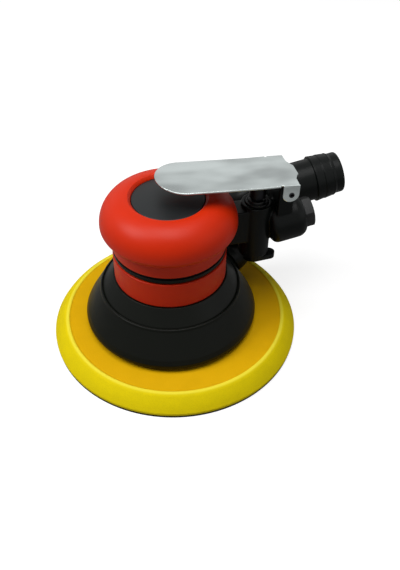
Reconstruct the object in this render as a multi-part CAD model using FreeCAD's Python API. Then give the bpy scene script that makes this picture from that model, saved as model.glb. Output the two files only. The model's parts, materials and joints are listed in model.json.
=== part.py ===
import FreeCAD, Part
import math
import os

V = FreeCAD.Vector
UP = V(0, 0, 1)

# Random-orbit palm sander, air driven, with a vacuum hose tail.  Millimetres.
# Origin: on the motor axis, in the plane of the abrasive face.
# +Z up, +X along the handle towards the air inlet, +Y the hose-tail side.

# ---- named clearances ----
seat_gap = 0.03         # bearing, dowel or key in its seat
nest_gap = 0.06         # moulding or sleeve slipped over another
run_gap = 0.05          # radial running clearance
free_gap = 0.3          # moving faces that never touch
groove_gap = 0.3        # dark shadow line between two mouldings

# ---- pad ----
orbit_offset = 2.5      # spindle axis to motor axis
pad_r = 75.0
hook_t = 1.6
hook_inset = 0.3        # hook layer stands back from the foam's rim
pad_edge_h = 1.6        # upright foam edge above the hook layer
crest_r = 64.5
crest_z = 11.8
crest_round = 1.2
pad_top_drop = 0.6      # flat top below the crest
dust_hole_count = 6
dust_hole_pcd_r = 40.0
dust_hole_r = 6.5
plate_r = 48.2
plate_t = 2.6
hub_r = 19.0
hub_t = 1.7
stud_r = 3.97
stud_l = 14.0
rivet_count = 6
rivet_pcd_r = 14.5
rivet_r = 1.6
rivet_head_r = 2.6
rivet_head_h = 0.9
washer_t = 1.0
washer_r = 9.0

# ---- motor stack, measured up from the cup's rim ----
cup_rim_z = 42.0
cup_wall = 3.2
cup_bore_r = 26.4
plate_boss_r = 17.5
lock_ring_t = 5.2
lock_ring_lift = 0.2
front_plate_t = 6.5
cylinder_h = 20.0
rear_plate_t = 6.0
rear_boss_h = 4.0
rear_boss_r = 14.0
rotor_r = 18.5
rotor_bore_r = 7.0
rotor_core_r = 9.0
cylinder_bore_r = 21.1
vane_count = 5
vane_t = 1.8
vane_side_gap = 0.1
washer_space = 0.6      # wave washer between rear bearing and ceiling
cup_roof_t = 4.9
dowel_r = 1.2
dowel_pcd_r = 22.8
key_w = 3.0
key_l = 12.0
key_depth = 1.4

# ---- bearings: bore radius, outer radius, width ----
front_bearing = (7.5, 14.0, 7.0)
rear_bearing = (4.0, 11.0, 7.0)
spindle_bearing = (6.0, 12.0, 6.0)
bearing_spacer_t = 1.6
circlip_t = 1.0

# ---- shaft balancer and spindle ----
balancer_wall = 4.0
balancer_roof_t = 1.8
shoulder_r = 9.0
shield_gap = 0.4        # balancer top to the front plate's boss
counterweight_r = 28.0
counterweight_h = 11.0
counterweight_half_deg = 80.0
spindle_flange_r = 9.5
spindle_flats = 16.0
spindle_shoulder_r = 8.0
spindle_shoulder_h = 2.4

# ---- outer shell ----
shroud_r = 51.8
shroud_lip_z = 14.6
shroud_step_r = 40.1
shroud_step_z = 35.9
shroud_t = 1.9
ring_wall = 3.1         # lower ring, band and grip neck over the cup
ring_lift = 2.7         # lower ring above the cup's rim
ring_h = 16.5
band_wall = 2.7
band_h = 4.9
band_gap = 0.12
grip_neck_wall = 3.0
grip_r = 38.35
grip_bulge_drop = 8.4   # widest place below the cup's top
grip_rise = 7.6         # crown above the cup's top
cap_r = 20.1
cap_rise = 6.1          # cap's edge above the cup's top
cap_dome_h = 1.2
cap_wall = 2.4
shell_round = 0.7
pole_r = 0.4            # small flat at the middle of a dome

# ---- handle: neck, valve tower, inlet body ----
neck_half_w = 6.5
neck_top_drop = 6.4     # neck below the cup's top
tower_gap = 3.35        # grip to tower
tower_r = 8.9
tower_lift = 8.4        # tower's foot above the cup's rim
tower_rise = 2.4        # tower above the neck
tower_bore_r = 6.7
spool_bore_r = 6.4
seat_lift = 21.6        # valve seat above the tower's foot
inlet_pitch = 10.0      # inlet and hose tail rise by this many degrees
inlet_reach = 7.4       # inlet body behind the tower's axis
inlet_lift = 18.66      # inlet axis above the tower's foot
inlet_r = 13.0
inlet_l = 21.0
inlet_shoulder = 4.0
inlet_nose_r = 10.3
inlet_nose_l = 5.8
inlet_bore_r = 7.0
inlet_bore_l = 15.0
inlet_thread_r = 5.8
inlet_thread_l = 12.0
hex_corner_r = 9.3
hex_l = 5.6
air_drill_r = 3.5
air_drill_drop = 3.06   # below the inlet axis
neck_drill_r = 2.0
neck_drill_lift = 2.6   # above the rear end plate's face

# ---- valve ----
seat_t = 2.5
seat_hole_r = 3.2
poppet_r = 5.2
poppet_t = 3.0
poppet_gap = 0.1
stem_rod_r = 1.5
stem_guide_r = 3.3
stem_head_r = 4.8
stem_collar_r = 2.6
stem_collar_t = 2.1
bushing_depth = 6.9     # below and above the tower's rim
bushing_proud = 2.0
valve_travel = 1.75
spring_r = 3.95
spring_wire_r = 0.42
spring_turns = 5.5
spool_h = 7.8           # above the tower's foot
spool_lip_t = 1.5
spool_stem_r = 4.15
regulator_hub_r = 6.0
regulator_hub_h = 4.8
regulator_gap = 0.4     # hub to the tower's foot
regulator_lobe_r = 3.2
regulator_lobe_reach = 9.9
regulator_lobe_deg = -12.0
regulator_lobe_t = 3.4

# ---- lever ----
lever_slope = 3.9
lever_rise = 18.95      # top face above the cup's top, at the motor axis
lever_t = 1.2
lever_half_w = 15.3
lever_nose_x = -6.85
lever_shoulder = 3.3    # behind the pivot
lever_tail = 7.1
pivot_reach = 14.0      # pivot behind the tower's axis
pivot_rise = 8.2        # pivot above the cup's top
ear_r = 4.3
ear_front = 4.9         # ahead of the pivot
pin_r = 1.5
pin_hole_r = 0.8
pin_proud = 0.5
lug_half_w = 9.0
lug_r = 4.3

# ---- vacuum duct and hose tail ----
duct_y = 30.0
duct_r = 12.9
duct_bore_r = 11.2
duct_reach = 7.369249   # upright run's axis outside the shroud's rim
duct_run = 18.7         # upright run to the duct's end
duct_past_inlet = 11.7  # duct's end behind the inlet body's start
tail_ref = (31.8, 5.94)         # a point of the tail's axis: past the duct, over the inlet
port_inset = 9.079981   # the duct's axis starts this far inside the shroud's rim
port_y = 23.0
port_lift = 8.4         # above the shroud's lip
port_corner_lift = 15.4
port_bore_r = 9.6
port_len = 9.1
port_sleeve = 2.6
duct_low_bend = 13.3
duct_high_bend = 14.0
tail_bore_r = 9.6
tail_spigot_l = 6.8
tail_l = 44.0
barb_at = (26.4, 31.8, 37.3)
barb_r = (14.1, 13.75, 13.3)
barb_drop = 0.65
barb_rise = 0.3
tail_land_r = 12.4
tail_land_l = 3.2
tail_round = 1.8
ledge_t = 4.5
ledge_l = 9.2
ledge_inset = 0.5       # ledge short of the duct's end
ledge_drop = 7.06       # below the inlet axis
duct_lug_t = 2.5
duct_screw_inset = (7.3, 2.5)   # from the duct's end
duct_screw_y = 14.85
duct_screw_r = 1.45
duct_screw_head_r = 2.1
duct_screw_head_h = 1.8

# ---- worked-out heights ----
front_plate_z = cup_rim_z + lock_ring_lift + lock_ring_t
cylinder_z = front_plate_z + front_plate_t
rear_plate_z = cylinder_z + cylinder_h
rear_plate_top = rear_plate_z + rear_plate_t
ceiling_z = rear_plate_top + rear_boss_h + washer_space
cup_top_z = ceiling_z + cup_roof_t
rear_bearing_z = ceiling_z - washer_space - rear_bearing[2]
front_bearing_z = cup_rim_z + 1.5
balancer_top_z = cup_rim_z - shield_gap
pocket_top_z = balancer_top_z - balancer_roof_t
upper_row_z = pocket_top_z - circlip_t - 0.8 - spindle_bearing[2]
lower_row_z = upper_row_z - bearing_spacer_t - spindle_bearing[2]
snap_ring_z = lower_row_z - circlip_t - 0.2
pocket_mouth_z = snap_ring_z - 1.0
cylinder_shift = cylinder_bore_r - rotor_r - free_gap
pad_top_z = crest_z - pad_top_drop
hub_z = pad_top_z
hub_top_z = hub_z + hub_t
spindle_z = hub_top_z + washer_t
pitch = math.radians(inlet_pitch)
slant = V(math.cos(pitch), 0, math.sin(pitch))

# ---- worked-out places of the shell, the handle and the duct ----
housing_r = cup_bore_r + cup_wall
ring_r = housing_r + ring_wall
band_r = housing_r + band_wall
grip_neck_r = housing_r + grip_neck_wall
ring_z = (cup_rim_z + ring_lift, cup_rim_z + ring_lift + ring_h)
grip_z = ring_z[1] + band_h
grip_bulge_z = cup_top_z - grip_bulge_drop
grip_top_z = cup_top_z + grip_rise
cap_edge_z = cup_top_z + cap_rise
neck_top_z = cup_top_z - neck_top_drop
neck_drill_z = rear_plate_z + neck_drill_lift
tower_x = grip_r + tower_gap + tower_r
tower_z = (cup_rim_z + tower_lift, neck_top_z + tower_rise)
bushing_z = (tower_z[1] - bushing_depth, tower_z[1] + bushing_proud)
seat_z = tower_z[0] + seat_lift
spool_top_z = tower_z[0] + spool_h
regulator_hub_top_z = tower_z[0] - regulator_gap
regulator_z = regulator_hub_top_z - regulator_hub_h
inlet_x = tower_x + inlet_reach
inlet_z = tower_z[0] + inlet_lift
air_drill_z = inlet_z - air_drill_drop
lever_z = cup_top_z + lever_rise
pivot_x = tower_x + pivot_reach
pivot_z = cup_top_z + pivot_rise
lever_shoulder_x = pivot_x + lever_shoulder
lever_tail_x = pivot_x + lever_tail
ear_front_x = pivot_x - ear_front
duct_post_x = math.sqrt((shroud_r + duct_reach) ** 2 - duct_y ** 2)
port_x = math.sqrt((shroud_r - port_inset) ** 2 - port_y ** 2)
duct_end_x = max(duct_post_x + duct_run, inlet_x + duct_past_inlet)
tail_z0 = inlet_z + tail_ref[1] - tail_ref[0] * math.tan(pitch)
post_top_z = tail_z0 - (duct_end_x - duct_post_x) * math.tan(pitch)
port_corner_z = shroud_lip_z + port_corner_lift
ledge_x = (duct_end_x - ledge_inset - ledge_l, duct_end_x - ledge_inset)
ledge_z = inlet_z - ledge_drop
duct_screw_x = [duct_end_x - inset for inset in duct_screw_inset]


# ---------------------------------------------------------------- helpers
def pt(r, z):
    return V(r, 0, z)


def turned(path, centre=(0.0, 0.0)):
    """Solid of revolution about a vertical axis.  A two-number entry is a
    straight run to (r, z); a four-number one is an arc through its first
    point to its second."""
    edges = []
    last = pt(*path[0])
    for step in path[1:] + [path[0]]:
        end = pt(*step[-2:])
        if len(step) == 4:
            edges.append(Part.Arc(last, pt(*step[:2]), end).toShape())
        else:
            edges.append(Part.LineSegment(last, end).toShape())
        last = end
    solid = Part.Face(Part.Wire(edges)).revolve(V(0, 0, 0), UP, 360)
    return moved(solid, centre[0], centre[1], 0)


def moved(shape, x, y, z):
    copy = shape.copy()
    copy.translate(V(x, y, z))
    return copy


def along(shape, start, direction):
    """A shape built on +Z from the origin, laid along a direction."""
    copy = shape.copy()
    turn = FreeCAD.Placement(start, FreeCAD.Rotation(UP, direction))
    copy.Placement = turn.multiply(copy.Placement)
    return copy


def tube(r_out, r_in, z0, z1, centre=(0.0, 0.0)):
    base = V(centre[0], centre[1], z0)
    body = Part.makeCylinder(r_out, z1 - z0, base)
    if r_in <= 0:
        return body
    cutter = Part.makeCylinder(r_in, z1 - z0 + 2, base - UP)
    return body.cut(cutter)


def rod(r, start, end):
    way = end - start
    return Part.makeCylinder(r, way.Length, start, way)


def block(x, y, z):
    return Part.makeBox(x[1] - x[0], y[1] - y[0], z[1] - z[0], V(x[0], y[0], z[0]))


def union(shapes):
    return shapes[0].fuse(shapes[1:]).removeSplitter()


def polar(r, deg, z=0.0, centre=(0.0, 0.0)):
    a = math.radians(deg)
    return V(centre[0] + r * math.cos(a), centre[1] + r * math.sin(a), z)


def prism(points, z0, z1):
    wire = Part.makePolygon([V(x, y, z0) for x, y in points + points[:1]])
    return Part.Face(wire).extrude(V(0, 0, z1 - z0))


def hexagon(corner_r, z0, z1, centre=(0.0, 0.0)):
    corners = [polar(corner_r, 60 * i, 0, centre) for i in range(6)]
    return prism([(c.x, c.y) for c in corners], z0, z1)


# ---------------------------------------------------------------- bearings
def bearing(size, z, centre=(0.0, 0.0)):
    """Outer race, inner race and ball set of one deep-groove bearing."""
    r_in, r_out, width = size
    middle = (r_in + r_out) / 2
    half_gap = 0.16 * (r_out - r_in)
    ball_r = 0.26 * (r_out - r_in)
    z_mid = z + width / 2
    hub = V(centre[0], centre[1], z_mid)
    groove = Part.makeTorus(middle, ball_r + 0.1, hub)
    outer = tube(r_out - seat_gap, middle + half_gap, z, z + width, centre).cut(groove)
    inner = tube(middle - half_gap, r_in + seat_gap, z, z + width, centre).cut(groove)
    count = int(math.pi * middle / (ball_r * 1.3))
    balls = []
    for i in range(count):
        spot = polar(middle, 360.0 * i / count, z_mid, centre)
        balls.append(Part.makeSphere(ball_r, spot))
    return outer, inner, balls


spindle_axis = (orbit_offset, 0.0)
front_set = bearing(front_bearing, front_bearing_z)
rear_set = bearing(rear_bearing, rear_bearing_z)
lower_set = bearing(spindle_bearing, lower_row_z, spindle_axis)
upper_set = bearing(spindle_bearing, upper_row_z, spindle_axis)


# ---------------------------------------------------------------- pad
def dust_holes(z0, z1):
    holes = []
    for i in range(dust_hole_count):
        spot = polar(dust_hole_pcd_r, 360.0 * i / dust_hole_count, z0, spindle_axis)
        holes.append(Part.makeCylinder(dust_hole_r, z1 - z0, spot))
    return holes


def pad_hook_layer():
    disc = tube(pad_r - hook_inset, 0, 0, hook_t, spindle_axis)
    return disc.cut(dust_holes(-1, hook_t + 1))


def pad_foam():
    """Tapered disc with a rounded crest, recessed for the plate."""
    edge_z = hook_t + pad_edge_h
    body = turned([
        (0, hook_t), (pad_r, hook_t), (pad_r, edge_z),
        (crest_r + crest_round, crest_z - crest_round),
        (crest_r, crest_z, crest_r - crest_round, pad_top_z),
        (plate_r + nest_gap, pad_top_z), (plate_r + nest_gap, pad_top_z - plate_t),
        (0, pad_top_z - plate_t)], spindle_axis)
    return body.cut(dust_holes(0, crest_z))


def rivet_spots(z):
    step = 360.0 / rivet_count
    return [polar(rivet_pcd_r, step * (i + 0.5), z, spindle_axis) for i in range(rivet_count)]


def pad_plate():
    body = tube(plate_r, 0, pad_top_z - plate_t, pad_top_z, spindle_axis)
    cutters = dust_holes(0, crest_z)
    for spot in rivet_spots(0):
        cutters.append(Part.makeCylinder(rivet_r + seat_gap, crest_z, spot))
    return body.cut(cutters)


def pad_hub():
    disc = tube(hub_r, 0, hub_z, hub_top_z, spindle_axis)
    stud = tube(stud_r, 0, hub_top_z, hub_top_z + stud_l, spindle_axis)
    holes = [Part.makeCylinder(rivet_r + seat_gap, 10, spot) for spot in rivet_spots(hub_z - 1)]
    return union([disc, stud]).cut(holes)


def pad_rivets():
    rivets = []
    for spot in rivet_spots(pad_top_z - plate_t):
        shank = Part.makeCylinder(rivet_r, hub_top_z - spot.z, spot)
        top = V(spot.x, spot.y, hub_top_z)
        head = Part.makeCone(rivet_head_r, rivet_head_r * 0.6, rivet_head_h, top)
        rivets.append(shank.fuse(head).removeSplitter())
    return rivets


def pad_washer():
    return tube(washer_r, stud_r + nest_gap, hub_top_z, spindle_z, spindle_axis)


# ---------------------------------------------------------------- spindle
def spindle():
    """Threaded socket for the pad, a shoulder and the bearing journal."""
    bearing_r = spindle_bearing[0]
    shoulder_z = lower_row_z - spindle_shoulder_h
    top_z = upper_row_z + spindle_bearing[2] + circlip_t + 0.5
    body = tube(spindle_flange_r, 0, spindle_z, shoulder_z, spindle_axis)
    flats = []
    for side in (-1, 1):
        y = sorted((side * spindle_flats / 2, side * 20))
        flats.append(block((-20, 20), y, (spindle_z - 1, spindle_z + 5)))
    body = body.cut(flats)
    shoulder = tube(spindle_shoulder_r, 0, shoulder_z, lower_row_z, spindle_axis)
    journal = tube(bearing_r, 0, lower_row_z, top_z, spindle_axis)
    body = union([body, shoulder, journal])
    socket = tube(stud_r + seat_gap, 0, spindle_z - 1, hub_top_z + stud_l + 1, spindle_axis)
    clip_z = upper_row_z + spindle_bearing[2]
    groove = tube(bearing_r + 1, bearing_r - 0.7, clip_z, clip_z + circlip_t, spindle_axis)
    return body.cut([socket, groove])


def open_ring(r_out, r_in, z, thickness, gap, deg, centre):
    """Flat retaining ring with a gap facing the given direction."""
    ring = tube(r_out, r_in, z, z + thickness, centre)
    cutter = block((0, r_out + 2), (-gap / 2, gap / 2), (z - 1, z + thickness + 1))
    cutter.rotate(V(0, 0, 0), UP, deg)
    return ring.cut(moved(cutter, centre[0], centre[1], 0))


def spindle_circlip():
    r_in = spindle_bearing[0] - 0.7 + seat_gap
    z = upper_row_z + spindle_bearing[2]
    return open_ring(r_in + 1.9, r_in, z, circlip_t, 3.0, 90, spindle_axis)


# ---------------------------------------------------------------- motor
def shaft_balancer():
    """Motor shaft in one piece with the eccentric bearing cup and its
    counterweight."""
    pocket_r = spindle_bearing[1]
    cup = tube(pocket_r + balancer_wall, 0, pocket_mouth_z, balancer_top_z, spindle_axis)
    weight_z = balancer_top_z - counterweight_h
    sector = tube(counterweight_r, 0, weight_z, balancer_top_z)
    wedge_reach = 2 * counterweight_r
    a0 = 180 - counterweight_half_deg
    a1 = 180 + counterweight_half_deg
    corners = [(0, 0)]
    for i in range(5):
        p = polar(wedge_reach, a0 + (a1 - a0) * i / 4)
        corners.append((p.x, p.y))
    sector = sector.common(prism(corners, weight_z, balancer_top_z))
    shoulder = tube(shoulder_r, 0, balancer_top_z, front_bearing_z)
    front = tube(front_bearing[0], 0, front_bearing_z, cylinder_z - 0.5)
    seat = tube(rotor_bore_r, 0, cylinder_z - 0.5, rear_plate_z)
    rear = tube(rear_bearing[0], 0, rear_plate_z, rear_bearing_z + rear_bearing[2])
    body = union([cup, sector, shoulder, front, seat, rear])
    pocket = tube(pocket_r, 0, pocket_mouth_z - 1, pocket_top_z, spindle_axis)
    groove = tube(pocket_r + 0.8, 0, snap_ring_z, snap_ring_z + circlip_t, spindle_axis)
    return body.cut([pocket, groove, key_way(seat_gap)])


def key_way(gap):
    mid = cylinder_z + cylinder_h / 2
    half = key_w / 2 + gap
    x = (rotor_bore_r - key_depth - gap, rotor_bore_r + key_depth + gap)
    return block(x, (-half, half), (mid - key_l / 2 - gap, mid + key_l / 2 + gap))


def vane_slot_box(gap, depth_in, depth_out):
    half = vane_t / 2 + gap
    return block((depth_in, depth_out), (-half, half),
                 (cylinder_z + free_gap, rear_plate_z - free_gap))


def spun(shape, count, offset_deg):
    copies = []
    for i in range(count):
        copy = shape.copy()
        copy.rotate(V(0, 0, 0), UP, offset_deg + 360.0 * i / count)
        copies.append(copy)
    return copies


def rotor():
    body = tube(rotor_r, rotor_bore_r + seat_gap, cylinder_z + free_gap, rear_plate_z - free_gap)
    slots = spun(vane_slot_box(vane_side_gap, rotor_core_r + 0.4, rotor_r + 2), vane_count, 36)
    return body.cut(slots + [key_way(seat_gap)])


def vanes():
    """Blades held in at their slots' floors, clear of the cylinder."""
    blade = vane_slot_box(0, rotor_core_r + 0.5, rotor_r - 0.1)
    return spun(blade, vane_count, 36)


def dowel_hole(z0, z1, gap=seat_gap):
    return Part.makeCylinder(dowel_r + gap, z1 - z0, V(0, -dowel_pcd_r, z0))


def motor_cylinder():
    body = tube(cup_bore_r - nest_gap, 0, cylinder_z, rear_plate_z)
    bore = tube(cylinder_bore_r, 0, cylinder_z - 1, rear_plate_z + 1, (0, cylinder_shift))
    ports = []
    for i in range(3):
        z = cylinder_z + cylinder_h * (i + 1) / 4
        ports.append(rod(1.6, V(15, 0, z), V(40, 0, z)))
    return body.cut([bore, dowel_hole(cylinder_z - 1, rear_plate_z + 1)] + ports)


def front_end_plate():
    disc = tube(cup_bore_r - nest_gap, 0, front_plate_z, cylinder_z)
    boss = tube(plate_boss_r, 0, cup_rim_z, front_plate_z)
    pocket_top = front_bearing_z + front_bearing[2]
    pocket = tube(front_bearing[1], 0, cup_rim_z - 1, pocket_top)
    rebate = tube(front_bearing[1] + 1.5, 0, cup_rim_z - 1, front_bearing_z - 0.5)
    hole = tube(front_bearing[0] + 0.7, 0, cup_rim_z - 1, cylinder_z + 1)
    return union([disc, boss]).cut([pocket, rebate, hole, dowel_hole(cylinder_z - 4, cylinder_z + 1)])


def dust_shield():
    r = front_bearing[1] + 1.5 - nest_gap
    return tube(r, shoulder_r + free_gap, cup_rim_z + 0.1, front_bearing_z - 0.5)


def rear_end_plate():
    """Bearing plate with an air gallery round it and an O-ring groove."""
    disc = tube(cup_bore_r - nest_gap, 0, rear_plate_z, rear_plate_top)
    boss = tube(rear_boss_r, 0, rear_plate_top, rear_plate_top + rear_boss_h)
    pocket = tube(rear_bearing[1], 0, rear_bearing_z, ceiling_z)
    hole = tube(rear_bearing[0] + 1, 0, rear_plate_z - 1, ceiling_z)
    gallery = tube(cup_bore_r + 1, cup_bore_r - 3, neck_drill_z - 1.4, neck_drill_z + 1.1)
    groove = tube(cup_bore_r + 1, cup_bore_r - 1.7, rear_plate_top - 1.9, rear_plate_top - 0.3)
    port = Part.makeCylinder(1.3, neck_drill_z - rear_plate_z + 1, V(0, 24.0, rear_plate_z - 1))
    cutters = [pocket, hole, gallery, groove, port]
    cutters.append(dowel_hole(rear_plate_z - 1, rear_plate_z + 1.0))
    return union([disc, boss]).cut(cutters)


def dowel_pin():
    return Part.makeCylinder(dowel_r, cylinder_h + 4.4, V(0, -dowel_pcd_r, cylinder_z - 3.6))


def plate_o_ring():
    return Part.makeTorus(cup_bore_r - 0.85, 0.75, V(0, 0, rear_plate_top - 1.1))


def lock_ring():
    z0 = cup_rim_z + lock_ring_lift
    ring = tube(cup_bore_r - nest_gap, plate_boss_r + free_gap, z0, front_plate_z)
    spot = polar((cup_bore_r + plate_boss_r) / 2, 0, z0 - 1)
    notch = Part.makeCylinder(1.5, 3.5, spot)
    return ring.cut(spun(notch, 4, 45))


def wave_washer():
    z = ceiling_z - washer_space
    return tube(rear_bearing[1] - 0.3, rear_bearing[1] - 2.2, z, z + washer_space - 0.05)


# ---------------------------------------------------------------- shell
def slanted(path):
    """Turned part on the inlet axis; its zero is where the body begins."""
    return along(turned(path), V(inlet_x, 0, inlet_z), slant)


def inlet_body():
    nose_z = inlet_l - inlet_nose_l
    round_mid = inlet_shoulder * (1 - math.sqrt(0.5))
    nose_mid = ((inlet_r + inlet_nose_r) / 2 + 0.75, nose_z + inlet_nose_l / 2 + 0.4)
    return slanted([
        (0, 0), (inlet_r - inlet_shoulder, 0),
        (inlet_r - round_mid, round_mid, inlet_r, inlet_shoulder),
        (inlet_r, nose_z), nose_mid + (inlet_nose_r, inlet_l), (0, inlet_l)])


def pivot_lug():
    half = lug_half_w
    post = block((pivot_x - lug_r, pivot_x + lug_r), (-half, half), (inlet_z + 8, pivot_z))
    head = rod(lug_r, V(pivot_x, -half, pivot_z), V(pivot_x, half, pivot_z))
    return union([post, head])


def housing():
    """Motor cup, visible band, neck, valve tower, inlet body, lever lug
    and the ledge for the vacuum duct, moulded in one."""
    band = (ring_z[1] + band_gap, grip_z - band_gap)
    top_round = 2.0
    cup = turned([
        (0, cup_rim_z), (housing_r, cup_rim_z), (housing_r, band[0]), (band_r, band[0]),
        (band_r, band[1]), (housing_r, band[1]), (housing_r, cup_top_z - top_round),
        (housing_r - top_round, cup_top_z), (0, cup_top_z)])
    neck = block((housing_r - 1.5, tower_x), (-neck_half_w, neck_half_w), (band[0], neck_top_z))
    tower = tube(tower_r, 0, tower_z[0], tower_z[1], (tower_x, 0))
    ledge = block(ledge_x, (6, duct_screw_y + 2.4), (ledge_z - ledge_t, ledge_z))
    body = union([cup, neck, tower, inlet_body(), pivot_lug(), ledge])
    cutters = [tube(cup_bore_r, 0, cup_rim_z - 1, ceiling_z)]
    cutters.append(tube(tower_bore_r, 0, seat_z, tower_z[1] + 1, (tower_x, 0)))
    lip_top = tower_z[0] + spool_lip_t
    cutters.append(tube(spool_bore_r, 0, lip_top, seat_z + 1, (tower_x, 0)))
    cutters.append(tube(spool_stem_r + run_gap, 0, tower_z[0] - 1, lip_top + 1, (tower_x, 0)))
    cutters.append(slanted([(0, inlet_l - inlet_bore_l), (inlet_bore_r, inlet_l - inlet_bore_l),
                            (inlet_bore_r, inlet_l + 1), (0, inlet_l + 1)]))
    cutters.append(rod(air_drill_r, V(tower_x, 0, air_drill_z), V(inlet_x + 9, 0, air_drill_z)))
    cutters.append(rod(neck_drill_r, V(cup_bore_r - 2, 0, neck_drill_z), V(tower_x, 0, neck_drill_z)))
    cutters.append(rod(pin_r + seat_gap, V(pivot_x, -20, pivot_z), V(pivot_x, 20, pivot_z)))
    for x in duct_screw_x:
        base = V(x, duct_screw_y, ledge_z - ledge_t - 1)
        cutters.append(Part.makeCylinder(duct_screw_r + seat_gap, ledge_t + 2, base))
    return body.cut(cutters)


def palm_grip():
    """Soft mushroom grip, slotted at the back for the neck."""
    inner = housing_r + nest_gap
    rim = cap_r + groove_gap
    side = grip_r
    body = turned([
        (inner, grip_z), (grip_neck_r - shell_round, grip_z), (grip_neck_r, grip_z + shell_round),
        (grip_neck_r, grip_z + 3.4),
        (grip_neck_r + 0.75, grip_z + 5.6, grip_neck_r + 2.4, grip_z + 7.8),
        (side, grip_bulge_z, side - 2.2, grip_bulge_z + 7.6),
        (side - 5.9, grip_bulge_z + 12.6, side - 12.2, grip_top_z - 0.35),
        (side - 14.6, grip_top_z, rim + 0.9, grip_top_z - 0.6),
        (rim, grip_top_z - 1.6), (rim, cup_top_z + nest_gap), (inner, cup_top_z + nest_gap)])
    slot = block((housing_r - 4, grip_r + 4), (-neck_half_w - nest_gap, neck_half_w + nest_gap),
                 (grip_z - 1, neck_top_z + nest_gap))
    return body.cut(slot)


def top_cap():
    edge = cap_edge_z
    floor = cup_top_z + nest_gap
    return turned([
        (0, edge - cap_wall + 0.6), (cap_r - cap_wall, edge - cap_wall), (cap_r - cap_wall, floor),
        (cap_r, floor), (cap_r, edge - 0.5), (cap_r - 0.5, edge),
        (cap_r * 0.55, edge + cap_dome_h * 0.72, pole_r, edge + cap_dome_h),
        (0, edge + cap_dome_h)])


def lower_ring():
    r = ring_r
    z0, z1 = ring_z
    return turned([
        (housing_r + nest_gap, z0), (r - shell_round, z0), (r, z0 + shell_round),
        (r, z1 - shell_round), (r - shell_round, z1), (housing_r + nest_gap, z1)])


def port_axis():
    start = V(port_x, port_y, shroud_lip_z + port_lift)
    corner = V(duct_post_x, duct_y, port_corner_z)
    way = corner - start
    way.normalize()
    return start, way


def shroud():
    """Flexible skirt with a raised step and a stub for the duct."""
    lip, step_z, t = shroud_lip_z, shroud_step_z, shroud_t
    neck_z = ring_z[0]
    outer = [
        (0, lip), (shroud_r - 0.6, lip), (shroud_r, lip + 0.6), (shroud_r, lip + 1.6),
        (shroud_r - 0.3, lip + 3.4, shroud_r - 1.3, lip + 5.2),
        (shroud_step_r + 1.9, step_z - 1.6), (shroud_step_r + 1.0, step_z - 0.4),
        (shroud_step_r + 0.4, step_z), (shroud_step_r, step_z - 0.35),
        (shroud_step_r - 0.4, step_z + 0.2), (ring_r + 0.9, neck_z), (0, neck_z)]
    inner = [
        (0, lip - 5), (shroud_r - t, lip - 5), (shroud_r - t, lip + 1.6),
        (shroud_r - 1.3 - t, lip + 5.2), (shroud_step_r - 0.2, step_z - 2.0),
        (shroud_step_r - 2.4, step_z - 0.6), (housing_r + t + 1.2, cup_rim_z - 1.0),
        (housing_r - 1.2, cup_rim_z - 1.0), (housing_r - 1.2, cup_rim_z),
        (housing_r + nest_gap, cup_rim_z), (housing_r + nest_gap, neck_z + 1), (0, neck_z + 1)]
    start, way = port_axis()
    stub = rod(duct_bore_r - nest_gap, start, start + way * port_len)
    skirt = union([turned(outer), stub]).cut(turned(inner))
    return skirt.cut(rod(port_bore_r, start - way * 4, start + way * (port_len + 1)))


# ---------------------------------------------------------------- valve
def valve_bushing():
    """Guide bush pressed in the tower, with two steps standing proud."""
    z0, z1 = bushing_z
    rim = tower_z[1]
    r = tower_bore_r - nest_gap
    groove = 0.5
    return turned([
        (stem_guide_r + run_gap, z0), (r, z0), (r, z0 + 2), (r - 1.1, z0 + 2),
        (r - 1.1, z0 + 2 + 1.3), (r, z0 + 2 + 1.3), (r, rim - 0.8), (r - 0.2, rim + 0.7),
        (r - 0.9, rim + 0.9), (r - 1.1, rim + 0.9 - groove), (r - 1.5, rim + 0.9 - groove),
        (r - 1.7, z1 - 0.3), (r - 2.0, z1), (stem_guide_r + run_gap, z1)], (tower_x, 0))


def bushing_o_ring():
    return Part.makeTorus(tower_bore_r - nest_gap - 0.55, 0.5, V(tower_x, 0, bushing_z[0] + 2.65))


def valve_seat():
    top = seat_z + seat_t
    return tube(tower_bore_r - nest_gap, seat_hole_r, seat_z, top, (tower_x, 0))


def poppet_top():
    return seat_z - poppet_gap


def valve_poppet():
    top = poppet_top()
    return tube(poppet_r, stem_rod_r + seat_gap, top - poppet_t, top, (tower_x, 0))


def stem_top_z():
    """Height just under the resting lever above the stem."""
    slope = math.radians(lever_slope)
    under = lever_z - tower_x * math.tan(slope) - lever_t / math.cos(slope)
    return under - free_gap


def valve_stem():
    collar_top = poppet_top() - poppet_t
    head_z = bushing_z[1] + valve_travel + 0.2
    top = stem_top_z()
    guide_z = bushing_z[0] + 0.3
    return turned([
        (0, collar_top - stem_collar_t), (stem_collar_r, collar_top - stem_collar_t),
        (stem_collar_r, collar_top), (stem_rod_r, collar_top), (stem_rod_r, guide_z),
        (stem_guide_r, guide_z + 0.6), (stem_guide_r, head_z), (stem_head_r, head_z),
        (stem_head_r, top - 1.6), (stem_head_r * 0.62, top - 0.35, pole_r, top),
        (0, top)], (tower_x, 0))


def valve_spring():
    z0 = spool_top_z + spring_wire_r
    z1 = poppet_top() - poppet_t - spring_wire_r - 0.05
    helix = Part.makeHelix((z1 - z0) / spring_turns, z1 - z0, spring_r)
    ring = Part.makeCircle(spring_wire_r, V(spring_r, 0, 0), V(0, 1, 0))
    coil = Part.Wire(helix.Edges).makePipeShell([Part.Wire([ring])], True, True)
    return moved(coil, tower_x, 0, z0)


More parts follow.
